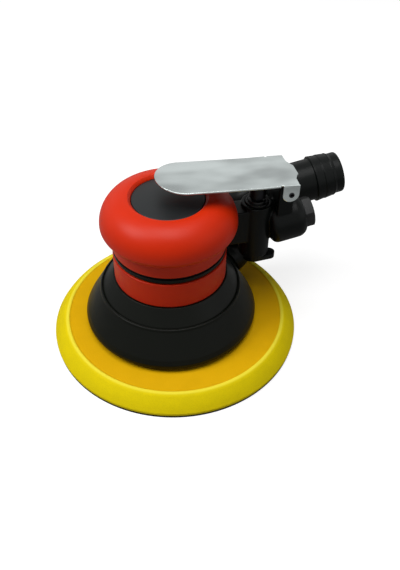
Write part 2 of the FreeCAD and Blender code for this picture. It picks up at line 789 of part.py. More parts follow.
def regulator_spool():
    z0 = tower_z[0] + spool_lip_t + 0.2
    barrel = tube(spool_bore_r - run_gap, 0, z0, spool_top_z, (tower_x, 0))
    stem = tube(spool_stem_r, 0, regulator_hub_top_z, z0, (tower_x, 0))
    body = union([barrel, stem])
    flow = Part.makeCylinder(1.6, 4, V(tower_x, 0, spool_top_z - 2.5))
    notch = block((tower_x, tower_x + 8), (-1.6, 1.6), (spool_top_z - 2.5, spool_top_z + 1))
    thread = Part.makeCylinder(1.5 + seat_gap, 6.5, V(tower_x, 0, regulator_hub_top_z - 1))
    return body.cut([flow, notch, thread])


def regulator_lever():
    """Hub and rounded thumb lobe joined by tangent sides."""
    centre = V(tower_x, 0, regulator_z)
    hub = tube(regulator_hub_r, 0, regulator_z, regulator_hub_top_z, (tower_x, 0))
    reach, r0, r1 = regulator_lobe_reach, regulator_hub_r, regulator_lobe_r
    lean = math.degrees(math.acos((r0 - r1) / reach))
    heading = regulator_lobe_deg
    tip = polar(reach, heading, regulator_z, (tower_x, 0))
    lobe = Part.makeCylinder(r1, regulator_lobe_t, tip)
    web = []
    for spot, r in ((centre, r0), (tip, r1)):
        for side in (-1, 1):
            web.append(polar(r, heading + side * lean, 0, (spot.x, spot.y)))
    corners = [web[0], web[2], web[3], web[1]]
    arm = prism([(c.x, c.y) for c in corners], regulator_z, regulator_z + regulator_lobe_t)
    screw_hole = Part.makeCylinder(1.5 + seat_gap, 10, centre - UP)
    sink = Part.makeCylinder(3.0, 1.6, centre - UP * 0.01)
    return union([hub, lobe, arm]).cut([screw_hole, sink])


def regulator_screw():
    head = tube(2.7, 0, regulator_z + 0.1, regulator_z + 1.59, (tower_x, 0))
    shank = tube(1.5, 0, regulator_z + 1.59, regulator_hub_top_z + 5, (tower_x, 0))
    slot = block((tower_x - 4, tower_x + 4), (-0.35, 0.35), (regulator_z - 1, regulator_z + 0.8))
    return union([head, shank]).cut(slot)


# ---------------------------------------------------------------- inlet
def inlet_bushing():
    """Hexagon bush screwed into the inlet body, with the hose thread."""
    root_z = inlet_l - inlet_bore_l + 3.0
    mouth_z = inlet_l + hex_l
    thread_z = mouth_z - inlet_thread_l
    shank = tube(inlet_bore_r - nest_gap, 0, root_z, inlet_l)
    head = hexagon(hex_corner_r, inlet_l, mouth_z)
    crown = turned([
        (0, inlet_l), (hex_corner_r + 1, inlet_l), (hex_corner_r + 1, mouth_z - 1.2),
        (hex_corner_r - 1.2, mouth_z), (0, mouth_z)])
    body = union([shank, head.common(crown)])
    body = body.cut([tube(inlet_thread_r, 0, thread_z, mouth_z + 1), tube(4.2, 0, root_z - 1, mouth_z)])
    return along(body, V(inlet_x, 0, inlet_z), slant)


def inlet_screen():
    z0 = inlet_l - inlet_bore_l + 1.8
    disc = tube(inlet_bore_r - nest_gap, 0, z0, z0 + 1.2)
    holes = [Part.makeCylinder(0.9, 4, V(0, 0, z0 - 1))]
    holes += spun(Part.makeCylinder(0.9, 4, V(3.4, 0, z0 - 1)), 6, 0)
    return along(disc.cut(holes), V(inlet_x, 0, inlet_z), slant)


# ---------------------------------------------------------------- lever
def lever():
    """Pressed plate with a round nose, two hinge ears and a rear tongue."""
    w, nose_c = lever_half_w, lever_nose_x + lever_half_w
    tongue_w, notch_w = 4.6, 8.4
    step_x = lever_shoulder_x
    edges = [Part.Arc(V(nose_c, w, 0), V(lever_nose_x, 0, 0), V(nose_c, -w, 0)).toShape()]
    run = [(nose_c, -w), (step_x + 0.7, -w), (step_x, -notch_w - 1), (step_x + 1.1, -notch_w),
           (lever_tail_x, -tongue_w), (lever_tail_x, tongue_w), (step_x + 1.1, notch_w),
           (step_x, notch_w + 1), (step_x + 0.7, w), (nose_c, w)]
    for a, b in zip(run, run[1:]):
        edges.append(Part.LineSegment(V(a[0], a[1], 0), V(b[0], b[1], 0)).toShape())
    plate = Part.Face(Part.Wire(edges)).extrude(V(0, 0, -lever_t))
    for side in (-1, 1):
        plate = plate.cut(Part.makeCylinder(0.8, 4, V(ear_front_x - 0.9, side * w, -2)))
    plate.rotate(V(0, 0, 0), V(0, 1, 0), lever_slope)
    plate.translate(V(0, 0, lever_z))
    parts = [plate]
    for side in (-1, 1):
        y = sorted((side * w, side * (w - lever_t)))
        top_z = lever_z - pivot_x * math.tan(math.radians(lever_slope)) - lever_t / 2
        parts.append(block((ear_front_x, pivot_x + ear_r), y, (pivot_z, top_z)))
        parts.append(rod(ear_r, V(pivot_x, y[0], pivot_z), V(pivot_x, y[1], pivot_z)))
        parts.append(block((ear_front_x, pivot_x), y, (pivot_z + 0.2, top_z)))
    body = union(parts)
    hole = rod(pin_r + run_gap, V(pivot_x, -20, pivot_z), V(pivot_x, 20, pivot_z))
    return body.cut(hole)


def lever_pin():
    half = lever_half_w + pin_proud
    a, b = V(pivot_x, -half, pivot_z), V(pivot_x, half, pivot_z)
    return rod(pin_r, a, b).cut(rod(pin_hole_r, a - V(0, 1, 0), b + V(0, 1, 0)))


# ---------------------------------------------------------------- vacuum duct
def bend_path(points, radii):
    """Straight runs joined by tangent arcs at the inner points."""
    edges = []
    last = points[0]
    for i, r in enumerate(radii, start=1):
        before = points[i - 1] - points[i]
        after = points[i + 1] - points[i]
        before.normalize()
        after.normalize()
        half = before.getAngle(after) / 2
        reach = r / math.tan(half)
        bisect = before + after
        bisect.normalize()
        a, b = points[i] + before * reach, points[i] + after * reach
        centre = points[i] + bisect * (r / math.sin(half))
        edges.append(Part.LineSegment(last, a).toShape())
        edges.append(Part.Arc(a, centre - bisect * r, b).toShape())
        last = b
    edges.append(Part.LineSegment(last, points[-1]).toShape())
    return Part.Wire(edges)


def swept(path, radius):
    first = path.Edges[0]
    start = first.valueAt(first.FirstParameter)
    way = first.tangentAt(first.FirstParameter)
    ring = Part.Wire([Part.makeCircle(radius, start, way)])
    pipe = path.makePipeShell([ring], True, False)
    return pipe if pipe.Volume > 0 else pipe.reversed()


def vacuum_duct():
    """Elbowed pipe from the shroud's stub up to the hose tail, with a
    lug that sits on the housing's ledge."""
    start, way = port_axis()
    begin = start + way * (port_len - port_sleeve)
    corner = V(duct_post_x, duct_y, port_corner_z)
    top = V(duct_post_x, duct_y, post_top_z)
    end = V(duct_end_x, duct_y, tail_z0)
    path = bend_path([begin, corner, top, end], [duct_low_bend, duct_high_bend])
    lug = block(ledge_x, (duct_screw_y - 2.1, duct_y - 6), (ledge_z, ledge_z + duct_lug_t))
    body = union([swept(path, duct_r), lug])
    ring_cut = turned([(0, -ring_groove()[1]), (ring_groove()[2], -ring_groove()[1]),
                       (ring_groove()[2], -ring_groove()[0]), (0, -ring_groove()[0])])
    cutters = [swept(path, duct_bore_r), along(ring_cut, end, slant)]
    for x in duct_screw_x:
        hole = Part.makeCylinder(duct_screw_r + 0.15, 8, V(x, duct_screw_y, ledge_z - 1))
        cutters.append(hole)
    return body.cut(cutters)


def ring_groove():
    """Near end, far end and outer radius of the tail ring's groove."""
    return 4.4, 5.6, duct_bore_r + 0.55


def duct_screws():
    screws = []
    for x in duct_screw_x:
        base = V(x, duct_screw_y, ledge_z - ledge_t + 0.5)
        shank = Part.makeCylinder(duct_screw_r, ledge_t - 0.5 + duct_lug_t, base)
        top = V(x, duct_screw_y, ledge_z + duct_lug_t)
        head = Part.makeCylinder(duct_screw_head_r, duct_screw_head_h, top)
        socket = hexagon(1.2, top.z + 0.7, top.z + 3, (x, duct_screw_y))
        screws.append(shank.fuse(head).removeSplitter().cut(socket))
    return screws


def tail_along(path):
    return along(turned(path), V(duct_end_x, duct_y, tail_z0), slant)


def hose_tail():
    """Swivelling tail: spigot, plain tube, three barbs and a round end."""
    spigot_r = duct_bore_r - run_gap
    near, far, _ = ring_groove()
    path = [(tail_bore_r, -tail_spigot_l), (spigot_r, -tail_spigot_l)]
    path += [(spigot_r, -far), (spigot_r - 0.75, -far), (spigot_r - 0.75, -near), (spigot_r, -near)]
    path += [(spigot_r, -2.7), (spigot_r - 0.85, -2.7), (spigot_r - 0.85, -1.6), (spigot_r, -1.6)]
    path += [(spigot_r, free_gap), (duct_r, free_gap), (duct_r, barb_at[0] - barb_rise)]
    for i, (start, r) in enumerate(zip(barb_at, barb_r)):
        path.append((r, start))
        if i + 1 < len(barb_at):
            path.append((r - barb_drop, barb_at[i + 1] - barb_rise))
    land_end = tail_l - tail_round
    corner = tail_round * (1 - math.sqrt(0.5))
    path += [(tail_land_r, land_end - tail_land_l), (tail_land_r, land_end)]
    path += [(tail_land_r - corner, tail_l - corner, tail_land_r - tail_round, tail_l)]
    path += [(tail_bore_r, tail_l)]
    return tail_along(path)


def tail_ring():
    near, far, r = ring_groove()
    spigot_floor = duct_bore_r - run_gap - 0.75
    return tail_along([
        (spigot_floor + 0.15, -far + 0.1), (r - seat_gap, -far + 0.1),
        (r - seat_gap, -near - 0.1), (spigot_floor + 0.15, -near - 0.1)])


def tail_o_ring():
    ring = Part.makeTorus(duct_bore_r - run_gap - 0.42, 0.38, V(0, 0, -2.15))
    return along(ring, V(duct_end_x, duct_y, tail_z0), slant)


# ---------------------------------------------------------------- output
NODES = {
    "pad_hook_layer": [pad_hook_layer()],
    "pad_foam": [pad_foam()],
    "pad_plate": [pad_plate()],
    "pad_hub": [pad_hub()],
    "pad_rivets": pad_rivets(),
    "pad_washer": [pad_washer()],
    "spindle": [spindle()],
    "spindle_circlip": [spindle_circlip()],
    "spindle_bearing_inner_races": [lower_set[1], upper_set[1]],
    "spindle_bearing_outer_races": [lower_set[0], upper_set[0]],
    "spindle_bearing_balls": lower_set[2] + upper_set[2],
    "bearing_spacer": [tube(spindle_bearing[1] - seat_gap, spindle_bearing[1] - 2.2,
                            lower_row_z + spindle_bearing[2], upper_row_z, spindle_axis)],
    "bearing_snap_ring": [open_ring(spindle_bearing[1] + 0.75, spindle_bearing[1] - 1.8,
                                    snap_ring_z, circlip_t, 6.0, 90, spindle_axis)],
    "shaft_balancer": [shaft_balancer()],
    "rotor": [rotor()],
    "vanes": vanes(),
    "rotor_key": [key_way(0)],
    "front_bearing_outer_race": [front_set[0]],
    "front_bearing_inner_race": [front_set[1]],
    "front_bearing_balls": front_set[2],
    "rear_bearing_outer_race": [rear_set[0]],
    "rear_bearing_inner_race": [rear_set[1]],
    "rear_bearing_balls": rear_set[2],
    "motor_cylinder": [motor_cylinder()],
    "front_end_plate": [front_end_plate()],
    "rear_end_plate": [rear_end_plate()],
    "dust_shield": [dust_shield()],
    "dowel_pin": [dowel_pin()],
    "plate_o_ring": [plate_o_ring()],
    "lock_ring": [lock_ring()],
    "wave_washer": [wave_washer()],
    "housing": [housing()],
    "palm_grip": [palm_grip()],
    "top_cap": [top_cap()],
    "lower_ring": [lower_ring()],
    "shroud": [shroud()],
    "valve_bushing": [valve_bushing()],
    "bushing_o_ring": [bushing_o_ring()],
    "valve_seat": [valve_seat()],
    "valve_poppet": [valve_poppet()],
    "valve_stem": [valve_stem()],
    "valve_spring": [valve_spring()],
    "regulator_spool": [regulator_spool()],
    "regulator_lever": [regulator_lever()],
    "regulator_screw": [regulator_screw()],
    "inlet_bushing": [inlet_bushing()],
    "inlet_screen": [inlet_screen()],
    "lever": [lever()],
    "lever_pin": [lever_pin()],
    "vacuum_duct": [vacuum_duct()],
    "duct_screws": duct_screws(),
    "hose_tail": [hose_tail()],
    "tail_ring": [tail_ring()],
    "tail_o_ring": [tail_o_ring()],
}

os.makedirs("parts", exist_ok=True)
for name, solids in NODES.items():
    shape = solids[0] if len(solids) == 1 else Part.makeCompound(solids)
    shape.exportStep("parts/" + name + ".step")
    print(name, "solids", len(shape.Solids), "valid", shape.isValid(), "volume", round(shape.Volume, 1))
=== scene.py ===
"""Looks of a random-orbit palm sander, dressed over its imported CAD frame.

The moulded shell, skirt, sanding pad, trigger lever and hose tail are surfaces
worked out with numpy. The moulded handle is the CAD solid with a soft skin
drawn over it. Everything else is the CAD node itself with a finish of its own.
Sizes are in millimetres until a mesh is made, and +X runs along the handle.
"""

import json
import logging
import math
from collections.abc import Iterable, Sequence
from dataclasses import dataclass, field
from enum import Enum

import bmesh
import bpy
import numpy as np
from mathutils import Matrix, Vector


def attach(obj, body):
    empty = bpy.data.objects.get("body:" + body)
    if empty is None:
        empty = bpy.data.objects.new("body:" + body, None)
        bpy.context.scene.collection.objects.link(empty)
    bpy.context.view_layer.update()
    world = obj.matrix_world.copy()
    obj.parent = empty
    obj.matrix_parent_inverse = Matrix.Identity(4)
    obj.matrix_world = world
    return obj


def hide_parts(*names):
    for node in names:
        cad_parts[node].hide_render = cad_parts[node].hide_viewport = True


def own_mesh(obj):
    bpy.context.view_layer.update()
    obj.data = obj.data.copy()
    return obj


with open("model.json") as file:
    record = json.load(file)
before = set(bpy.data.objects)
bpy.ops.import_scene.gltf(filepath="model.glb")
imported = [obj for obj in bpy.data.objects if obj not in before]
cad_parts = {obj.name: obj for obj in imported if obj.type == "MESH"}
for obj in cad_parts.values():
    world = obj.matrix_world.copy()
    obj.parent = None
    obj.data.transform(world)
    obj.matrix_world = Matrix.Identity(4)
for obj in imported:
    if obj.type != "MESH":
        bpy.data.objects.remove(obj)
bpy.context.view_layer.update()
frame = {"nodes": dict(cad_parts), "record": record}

LOG = logging.getLogger("palm_sander")
MM = 0.001
Colour = tuple[float, float, float]
Point = tuple[float, ...]


class Body(Enum):
    """The bodies of the frame that pieces ride on."""

    HOUSING = "housing"
    LEVER = "lever"
    VALVE = "valve"
    REGULATOR = "regulator"
    PAD = "pad"
    TAIL = "tail"


# ---- shading
def linear(*steps: int) -> Colour:
    """Linear colour of a display colour given in steps of 0 to 255."""
    levels = (step / 255 for step in steps)
    return tuple(v / 12.92 if v <= 0.04045 else ((v + 0.055) / 1.055) ** 2.4 for v in levels)


class Field:
    """A number that varies over a surface; arithmetic on it adds Math nodes."""

    def __init__(self, graph: "Graph", socket: bpy.types.NodeSocket) -> None:
        """Wrap a float socket of a graph."""
        self.graph = graph
        self.socket = socket

    def _math(self, operation: str, *terms: "Field | float") -> "Field":
        """One Math node on the given terms."""
        return self.graph.number("ShaderNodeMath", {"operation": operation}, dict(enumerate(terms)))

    def __add__(self, other: "Field | float") -> "Field":
        """Sum."""
        return self._math("ADD", self, other)

    def __sub__(self, other: "Field | float") -> "Field":
        """Difference."""
        return self._math("SUBTRACT", self, other)

    def __rsub__(self, other: float) -> "Field":
        """Difference from a plain number."""
        return self._math("SUBTRACT", other, self)

    def __mul__(self, other: "Field | float") -> "Field":
        """Product."""
        return self._math("MULTIPLY", self, other)

    __radd__ = __add__
    __rmul__ = __mul__

    def step(self, low: float, high: float) -> "Field":
        """Smooth step from 0 at low to 1 at high.

        Args:
            low: Value at which the step starts.
            high: Value at which it is complete; it may be below low.

        Returns:
            The stepped field.
        """
        settings = {"interpolation_type": "SMOOTHSTEP"}
        if low < high:
            return self.graph.number("ShaderNodeMapRange", settings, {0: self, 1: low, 2: high})
        return 1 - self.graph.number("ShaderNodeMapRange", settings, {0: self, 1: high, 2: low})


class Graph:
    """Node tree of one material, or of the world."""

    def __init__(self, owner: bpy.types.Material | bpy.types.World) -> None:
        """Empty the owner's node tree and put Object coordinates at hand."""
        self.owner = owner
        owner.use_nodes = True
        self.tree = owner.node_tree
        self.tree.nodes.clear()
        self.place = self.node("ShaderNodeTexCoord").outputs["Object"]

    @classmethod
    def material(cls, name: str) -> "Graph":
        """Graph of a new material."""
        return cls(bpy.data.materials.new(name))

    def node(self, kind: str, settings: dict | None = None,
             inputs: dict | None = None) -> bpy.types.Node:
        """Add any node.

        Args:
            kind: Type of the node.
            settings: Properties, set first.
            inputs: Values, sockets or fields by input name or number.

        Returns:
            The node.
        """
        made = self.tree.nodes.new(kind)
        for key, value in (settings or {}).items():
            setattr(made, key, value)
        for key, value in (inputs or {}).items():
            source = value.socket if isinstance(value, Field) else value
            if isinstance(source, bpy.types.NodeSocket):
                self.tree.links.new(source, made.inputs[key])
            else:
                made.inputs[key].default_value = source
        return made

    def number(self, kind: str, settings: dict | None = None, inputs: dict | None = None,
               output: int | str = 0) -> Field:
        """Add a node and take one of its outputs as a field."""
        return Field(self, self.node(kind, settings, inputs).outputs[output])

    def noise(self, size_mm: float, stretch: Point = (1, 1, 1), detail: float = 3.0,
              rough: float = 0.55) -> Field:
        """Noise whose features are about size_mm wide, stretched per axis.

        Args:
            size_mm: Width of a feature.
            stretch: How many times longer features are along X, Y and Z.
            detail: Octaves.
            rough: Strength of the finer octaves.

        Returns:
            The noise from 0 to 1, centred on one half.
        """
        scale = tuple(1 / s for s in stretch)
        spot = self.node("ShaderNodeMapping", None, {"Vector": self.place, "Scale": scale})
        return self.number("ShaderNodeTexNoise", None, {
            "Vector": spot.outputs[0], "Scale": 1 / (size_mm * MM), "Detail": detail,
            "Roughness": rough})

    def cells(self, size_mm: float) -> Field:
        """Distance to the nearest point of a scattered set, one per size_mm."""
        return self.number("ShaderNodeTexVoronoi", None, {
            "Vector": self.place, "Scale": 1 / (size_mm * MM)})

    def axis(self, letter: str) -> Field:
        """Object coordinate X, Y or Z in metres."""
        return self.number("ShaderNodeSeparateXYZ", None, {0: self.place}, letter)

    def radius(self, x_mm: float = 0.0) -> Field:
        """Distance from a vertical axis through x_mm, in metres."""
        flat = self.node("ShaderNodeVectorMath", {"operation": "MULTIPLY_ADD"}, {
            0: self.place, 1: (1, 1, 0), 2: (-x_mm * MM, 0, 0)})
        return self.number("ShaderNodeVectorMath", {"operation": "LENGTH"},
                           {0: flat.outputs[0]}, "Value")

    def edges(self) -> Field:
        """1 on convex edges and 0 elsewhere, from the mesh's own shape."""
        return self.number("ShaderNodeNewGeometry", None, None, "Pointiness").step(0.515, 0.56)

    def blend(self, share: Field, low: object, high: object) -> bpy.types.NodeSocket:
        """Colour that goes from low to high with share."""
        def full(colour: object) -> object:
            """Add the alpha to a plain colour."""
            return (*colour, 1) if isinstance(colour, tuple) else colour

        mixed = self.node("ShaderNodeMix", {"data_type": "RGBA"}, {
            0: share, 6: full(low), 7: full(high)})
        return mixed.outputs[2]

    def bump(self, height: Field, depth_mm: float, under: object = None) -> bpy.types.NodeSocket:
        """Normal pushed by a height field of the given depth."""
        inputs = {"Height": height, "Distance": depth_mm * MM, "Strength": 1.0}
        if under is not None:
            inputs["Normal"] = under
        return self.node("ShaderNodeBump", None, inputs).outputs[0]

    def surface(self, **sockets: object) -> bpy.types.Material:
        """End the graph in a Principled shader.

        Args:
            sockets: Values or links by input name with _ for each space.

        Returns:
            The finished material.
        """
        inputs = {key.replace("_", " "): value for key, value in sockets.items()}
        shader = self.node("ShaderNodeBsdfPrincipled", None, inputs)
        self.node("ShaderNodeOutputMaterial", None, {"Surface": shader.outputs[0]})
        return self.owner


def shaded(colour: Colour, factor: float) -> Colour:
    """A colour made lighter or darker."""
    return tuple(min(1.0, c * factor) for c in colour)


@dataclass(frozen=True)
class Moulding:
    """Moulded plastic or rubber with a fine spark-eroded grain.

    Cloudy noise varies the colour a little, a fine noise and a wider one make
    the grain and the slight unevenness of the skin, handling leaves smoother
    patches, and edges wear lighter.
    """

    colour: Colour
    rough: float = 0.45
    specular: float = 0.35
    grain_mm: float = 0.35
    grain_depth_mm: float = 0.012
    sway_depth_mm: float = 0.05
    shade: float = 0.12
    wear: float = 0.25

    def make(self, name: str) -> bpy.types.Material:
        """Material of this moulding."""
        g = Graph.material(name)
        cloud = g.noise(14.0, detail=4.0)
        fine = g.noise(self.grain_mm, detail=2.0)
        tone = g.blend(cloud, shaded(self.colour, 1 - self.shade), shaded(self.colour, 1 + self.shade))
        worn = g.edges() * g.noise(2.5).step(0.4, 0.65) * self.wear
        tone = g.blend(worn, tone, shaded(tuple(c + 0.03 for c in self.colour), 1.5))
        skin = g.bump(g.noise(9.0, detail=1.0), self.sway_depth_mm)
        return g.surface(
            Base_Color=tone, Roughness=self.rough + (cloud - 0.5) * 0.16 + (fine - 0.5) * 0.12,
            Specular_IOR_Level=self.specular, Normal=g.bump(fine, self.grain_depth_mm, skin))


@dataclass(frozen=True)
class Metal:
    """Bare or plated metal with drawn, turned or cast marks.

    Long thin noise along one axis gives brushed lines; equal noise on all
    axes gives a cast or blasted skin. Slow clouds darken it here and there:
    uneven tone on most metals, and a painted dark reflection on the stainless lever.
    """

    colour: Colour
    rough: float = 0.3
    mark_mm: float = 0.25
    run: Point = (1, 1, 1)
    depth_mm: float = 0.006
    dimming_and_reflection: float = 0.15
    cloud_mm: float = 7.0

    def make(self, name: str) -> bpy.types.Material:
        """Material of this metal."""
        g = Graph.material(name)
        marks = g.noise(self.mark_mm, self.run, detail=3.0)
        cloud = g.noise(self.cloud_mm, (2.2, 1, 1), detail=2.0)
        # Darker clouds: uneven tone, and on the stainless lever a painted dark reflection.
        tone = g.blend(cloud.step(0.35, 0.7), shaded(self.colour, 1.06),
                       shaded(self.colour, 1 - self.dimming_and_reflection))
        return g.surface(
            Base_Color=tone, Metallic=1.0, Normal=g.bump(marks, self.depth_mm),
            Roughness=self.rough + (marks - 0.5) * 0.12 + (cloud - 0.5) * 0.12)


@dataclass(frozen=True)
class Turned:
    """Metal turned on a lathe about the motor axis: fine rings by radius."""

    colour: Colour
    rough: float = 0.25
    pitch_mm: float = 0.22

    def make(self, name: str) -> bpy.types.Material:
        """Material of this turned metal."""
        g = Graph.material(name)
        rings = (g.radius() + g.axis("Z")) * (math.tau / (self.pitch_mm * MM))
        wave = g.number("ShaderNodeMath", {"operation": "SINE"}, {0: rings})
        cloud = g.noise(5.0, detail=4.0)
        tone = g.blend(cloud, shaded(self.colour, 0.82), self.colour)
        return g.surface(Base_Color=tone, Metallic=1.0, Roughness=self.rough + (cloud - 0.5) * 0.2,
                         Normal=g.bump(wave * 0.5 + 0.5, 0.003))


@dataclass(frozen=True)
class Foam:
    """Closed-cell foam, amber on its flat top.

    Cells at two sizes pit the surface, and the pits are painted darker as
    shade. Radius and height pick the amber top, and a thin band round it is
    painted paler as the crest's highlight.
    """

    colour: Colour = linear(238, 214, 6)
    # Amber colour of the flat top.
    skin: Colour = linear(226, 174, 2)
    # Painted highlight: pale yellow standing in for light on the crest's rounded top.
    crest_highlight: Colour = linear(252, 238, 70)
    centre_mm: float = 2.5
    amber_r_mm: float = 65.6
    amber_z_mm: float = 10.6

    def make(self, name: str) -> bpy.types.Material:
        """Material of the foam."""
        g = Graph.material(name)
        cloud = g.noise(11.0, detail=4.0)
        cells = g.cells(0.55)
        large = g.cells(1.7)
        radius = g.radius(self.centre_mm)
        r0, z0 = self.amber_r_mm * MM, self.amber_z_mm * MM
        top = radius.step(r0 + 0.3 * MM, r0 - 0.5 * MM) * g.axis("Z").step(z0 - 0.2 * MM, z0 + 0.2 * MM)
        body = g.blend(cloud, shaded(self.colour, 0.9), shaded(self.colour, 1.08))
        # Painted shade: the foam is darker at the bottom of each pit of the bump below.
        body = g.blend(cells.step(0.5, 0.1) * 0.35, body, shaded(self.colour, 0.72))
        amber_top = g.blend(cloud, shaded(self.skin, 0.92), shaded(self.skin, 1.08))
        # Mask of the painted crest highlight: a thin band just outside the amber top.
        crest_highlight = radius.step(r0 - 0.4 * MM, r0 + 0.3 * MM) * radius.step(r0 + 2.6 * MM, r0 + 1.2 * MM)
        body = g.blend(crest_highlight * 0.8, body, self.crest_highlight)
        pits = g.bump(cells + large * 0.6, 0.05)
        return g.surface(Base_Color=g.blend(top, body, amber_top), Specular_IOR_Level=0.1, Normal=pits,
                         Roughness=0.72 - top * 0.2 + (cloud - 0.5) * 0.2)


@dataclass(frozen=True)
class Fibre:
    """Fabric, felt or pressed fibre: crossing threads with loose nap."""

    colour: Colour
    thread_mm: float = 0.5
    depth_mm: float = 0.08
    sheen: float = 0.2
    rough: float = 0.9

    def make(self, name: str) -> bpy.types.Material:
        """Material of the fibre."""
        g = Graph.material(name)
        warp = g.noise(self.thread_mm, (6, 1, 1), detail=2.0)
        weft = g.noise(self.thread_mm, (1, 6, 1), detail=2.0)
        nap = g.cells(self.thread_mm * 0.8)
        height = (warp + weft) * 0.5 + (1 - nap) * 0.7
        # Painted light and shade: raised tufts of the nap lighter, the hollows between them darker.
        tone = g.blend(nap.step(0.15, 0.7), shaded(self.colour, 1.5), shaded(self.colour, 0.6))
        return g.surface(Base_Color=tone, Roughness=self.rough + (warp - 0.5) * 0.1,
                         Specular_IOR_Level=0.2, Sheen_Weight=self.sheen, Sheen_Roughness=0.6,
                         Normal=g.bump(height, self.depth_mm))


FINISHES: dict[str, Moulding | Metal | Turned | Foam | Fibre] = {
    "red_grip": Moulding(linear(212, 42, 0), 0.42, 0.22, 0.3, 0.010, 0.02, 0.05, 0.1),
    "black_cap": Moulding(linear(24, 27, 28), 0.42, 0.3, 0.4, 0.016, 0.03, 0.12, 0.15),
    "shroud_rubber": Moulding(linear(8, 11, 6), 0.36, 0.13, 0.5, 0.010, 0.05, 0.2, 0.6),
    "black_composite": Moulding(linear(9, 12, 11), 0.36, 0.12, 0.45, 0.012, 0.04, 0.15, 0.3),
    "seal_rubber": Moulding(linear(12, 12, 12), 0.5, 0.12, 0.3, 0.008, 0.02, 0.15, 0.0),
    "nylon": Moulding(linear(15, 16, 16), 0.4, 0.14, 0.5, 0.01, 0.03, 0.1, 0.2),
    "vane_phenolic": Moulding(linear(92, 52, 24), 0.5, 0.35, 0.6, 0.02, 0.03, 0.25, 0.3),
    "yellow_foam": Foam(),
    "hook_fabric": Fibre(linear(6, 6, 6), 0.7, 0.25, 0.0),
    "felt": Fibre(linear(150, 146, 132), 0.3, 0.06, 0.3),
    "fibre_plate": Fibre(linear(44, 36, 26), 0.9, 0.03, 0.05, 0.6),
    # Stainless lever: its wide, strong clouds are a painted dark reflection band across the plate.
    "stainless": Metal(linear(212, 220, 219), 0.24, 0.12, (60, 1, 1), 0.0012, 0.42, cloud_mm=20.0),
    "bushing_steel": Moulding(linear(20, 21, 21), 0.46, 0.3, 0.3, 0.004, 0.01, 0.15, 0.6),
    "dark_steel": Turned(linear(46, 46, 49), 0.45, 0.3),
    "bearing_steel": Turned(linear(200, 202, 206), 0.16, 0.2),
    "rotor_steel": Turned(linear(150, 150, 152), 0.3, 0.26),
    "zinc_steel": Metal(linear(178, 182, 186), 0.34, 0.3, (1, 1, 1), 0.006, 0.2),
    "spring_steel": Metal(linear(120, 122, 126), 0.3, 0.25, (1, 1, 6), 0.004, 0.2),
    "cast_motor": Metal(linear(128, 130, 134), 0.42, 0.7, (1, 1, 1), 0.03, 0.25),
    "aluminium": Turned(linear(196, 198, 202), 0.3, 0.24),
    "brass": Turned(linear(212, 170, 92), 0.24, 0.24),
}


class Paints:
    """Materials by the record's slot names, each made once."""

    def __init__(self) -> None:
        """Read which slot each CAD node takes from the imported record."""
        self.made: dict[str, bpy.types.Material] = {}
        self.slot_of = {row["node"]: row["material_slot"] for row in frame["record"]["subparts"]}

    def get(self, slot: str) -> bpy.types.Material:
        """The material of a slot."""
        if slot not in self.made:
            self.made[slot] = FINISHES[slot].make(f"finish_{slot}")
        return self.made[slot]

    def dress_nodes(self, hidden: Iterable[str]) -> int:
        """Give every CAD node that still shows its slot's material.

        Args:
            hidden: Nodes that a new piece stands for.

        Returns:
            The number of nodes dressed.
        """
        shown = set(frame["nodes"]) - set(hidden)
        for name in sorted(shown):
            data = frame["nodes"][name].data
            data.materials.clear()
            data.materials.append(self.get(self.slot_of[name]))
        return len(shown)


# ---- outlines
def arc(start: Point, middle: Point, end: Point, steps: int = 24) -> np.ndarray:
    """Points of the circle's arc through three points, both ends included.

    The centre is where the perpendicular bisectors meet; the arc's angle runs
    evenly from the first point through the second to the third.
    """
    a, b, c = (np.array(p, float) for p in (start, middle, end))
    rows = np.array([b - a, c - a])
    centre = np.linalg.solve(rows * 2, [b @ b - a @ a, c @ c - a @ a])
    turn = [math.atan2(*(p - centre)[::-1]) for p in (a, b, c)]
    sweep = (turn[2] - turn[0]) % math.tau
    if (turn[1] - turn[0]) % math.tau > sweep:
        sweep -= math.tau
    angle = turn[0] + np.linspace(0, sweep, steps)
    return centre + np.hypot(*(a - centre)) * np.column_stack([np.cos(angle), np.sin(angle)])


def rounded(corners: Sequence[Point], closed: bool, steps: int = 7) -> np.ndarray:
    """Outline whose corners are rounded.

    Each corner is (r, z) or (r, z, radius). A corner with a radius becomes the
    quadratic curve that leaves its two sides at the tangent length.
    """
    spots = np.array([c[:2] for c in corners], float)
    pieces = []
    for i, corner in enumerate(corners):
        at_end = not closed and i in (0, len(corners) - 1)
        if len(corner) < 3 or at_end:
            pieces.append(spots[i:i + 1])
            continue
        before, after = spots[i - 1] - spots[i], spots[(i + 1) % len(spots)] - spots[i]
        reach_b, reach_a = np.hypot(*before), np.hypot(*after)
        cosine = float(before @ after) / (reach_b * reach_a)
        tangent = corner[2] / math.tan(math.acos(max(-1.0, min(1.0, cosine))) / 2)
        tangent = min(tangent, 0.48 * reach_b, 0.48 * reach_a)
        p, q = spots[i] + before / reach_b * tangent, spots[i] + after / reach_a * tangent
        t = np.linspace(0, 1, steps)[:, None]
        pieces.append((1 - t) ** 2 * p + 2 * t * (1 - t) * spots[i] + t ** 2 * q)
    return np.vstack(pieces)


def spaced(path: np.ndarray, step: float, closed: bool) -> np.ndarray:
    """Path with points added evenly wherever two lie further apart than step."""
    ring = np.vstack([path, path[:1]]) if closed else path
    gaps = np.hypot(*np.diff(ring, axis=0).T)
    keep = np.concatenate([[True], gaps > 1e-5])
    ring = ring[keep]
    gaps = np.hypot(*np.diff(ring, axis=0).T)
    counts = np.maximum(1, np.ceil(gaps / step).astype(int))
    index = np.repeat(np.arange(len(gaps)), counts)
    first = np.repeat(np.cumsum(counts) - counts, counts)
    share = (np.arange(counts.sum()) - first) / counts[index]
    points = ring[index] + (ring[index + 1] - ring[index]) * share[:, None]
    return points if closed else np.vstack([points, ring[-1:]])


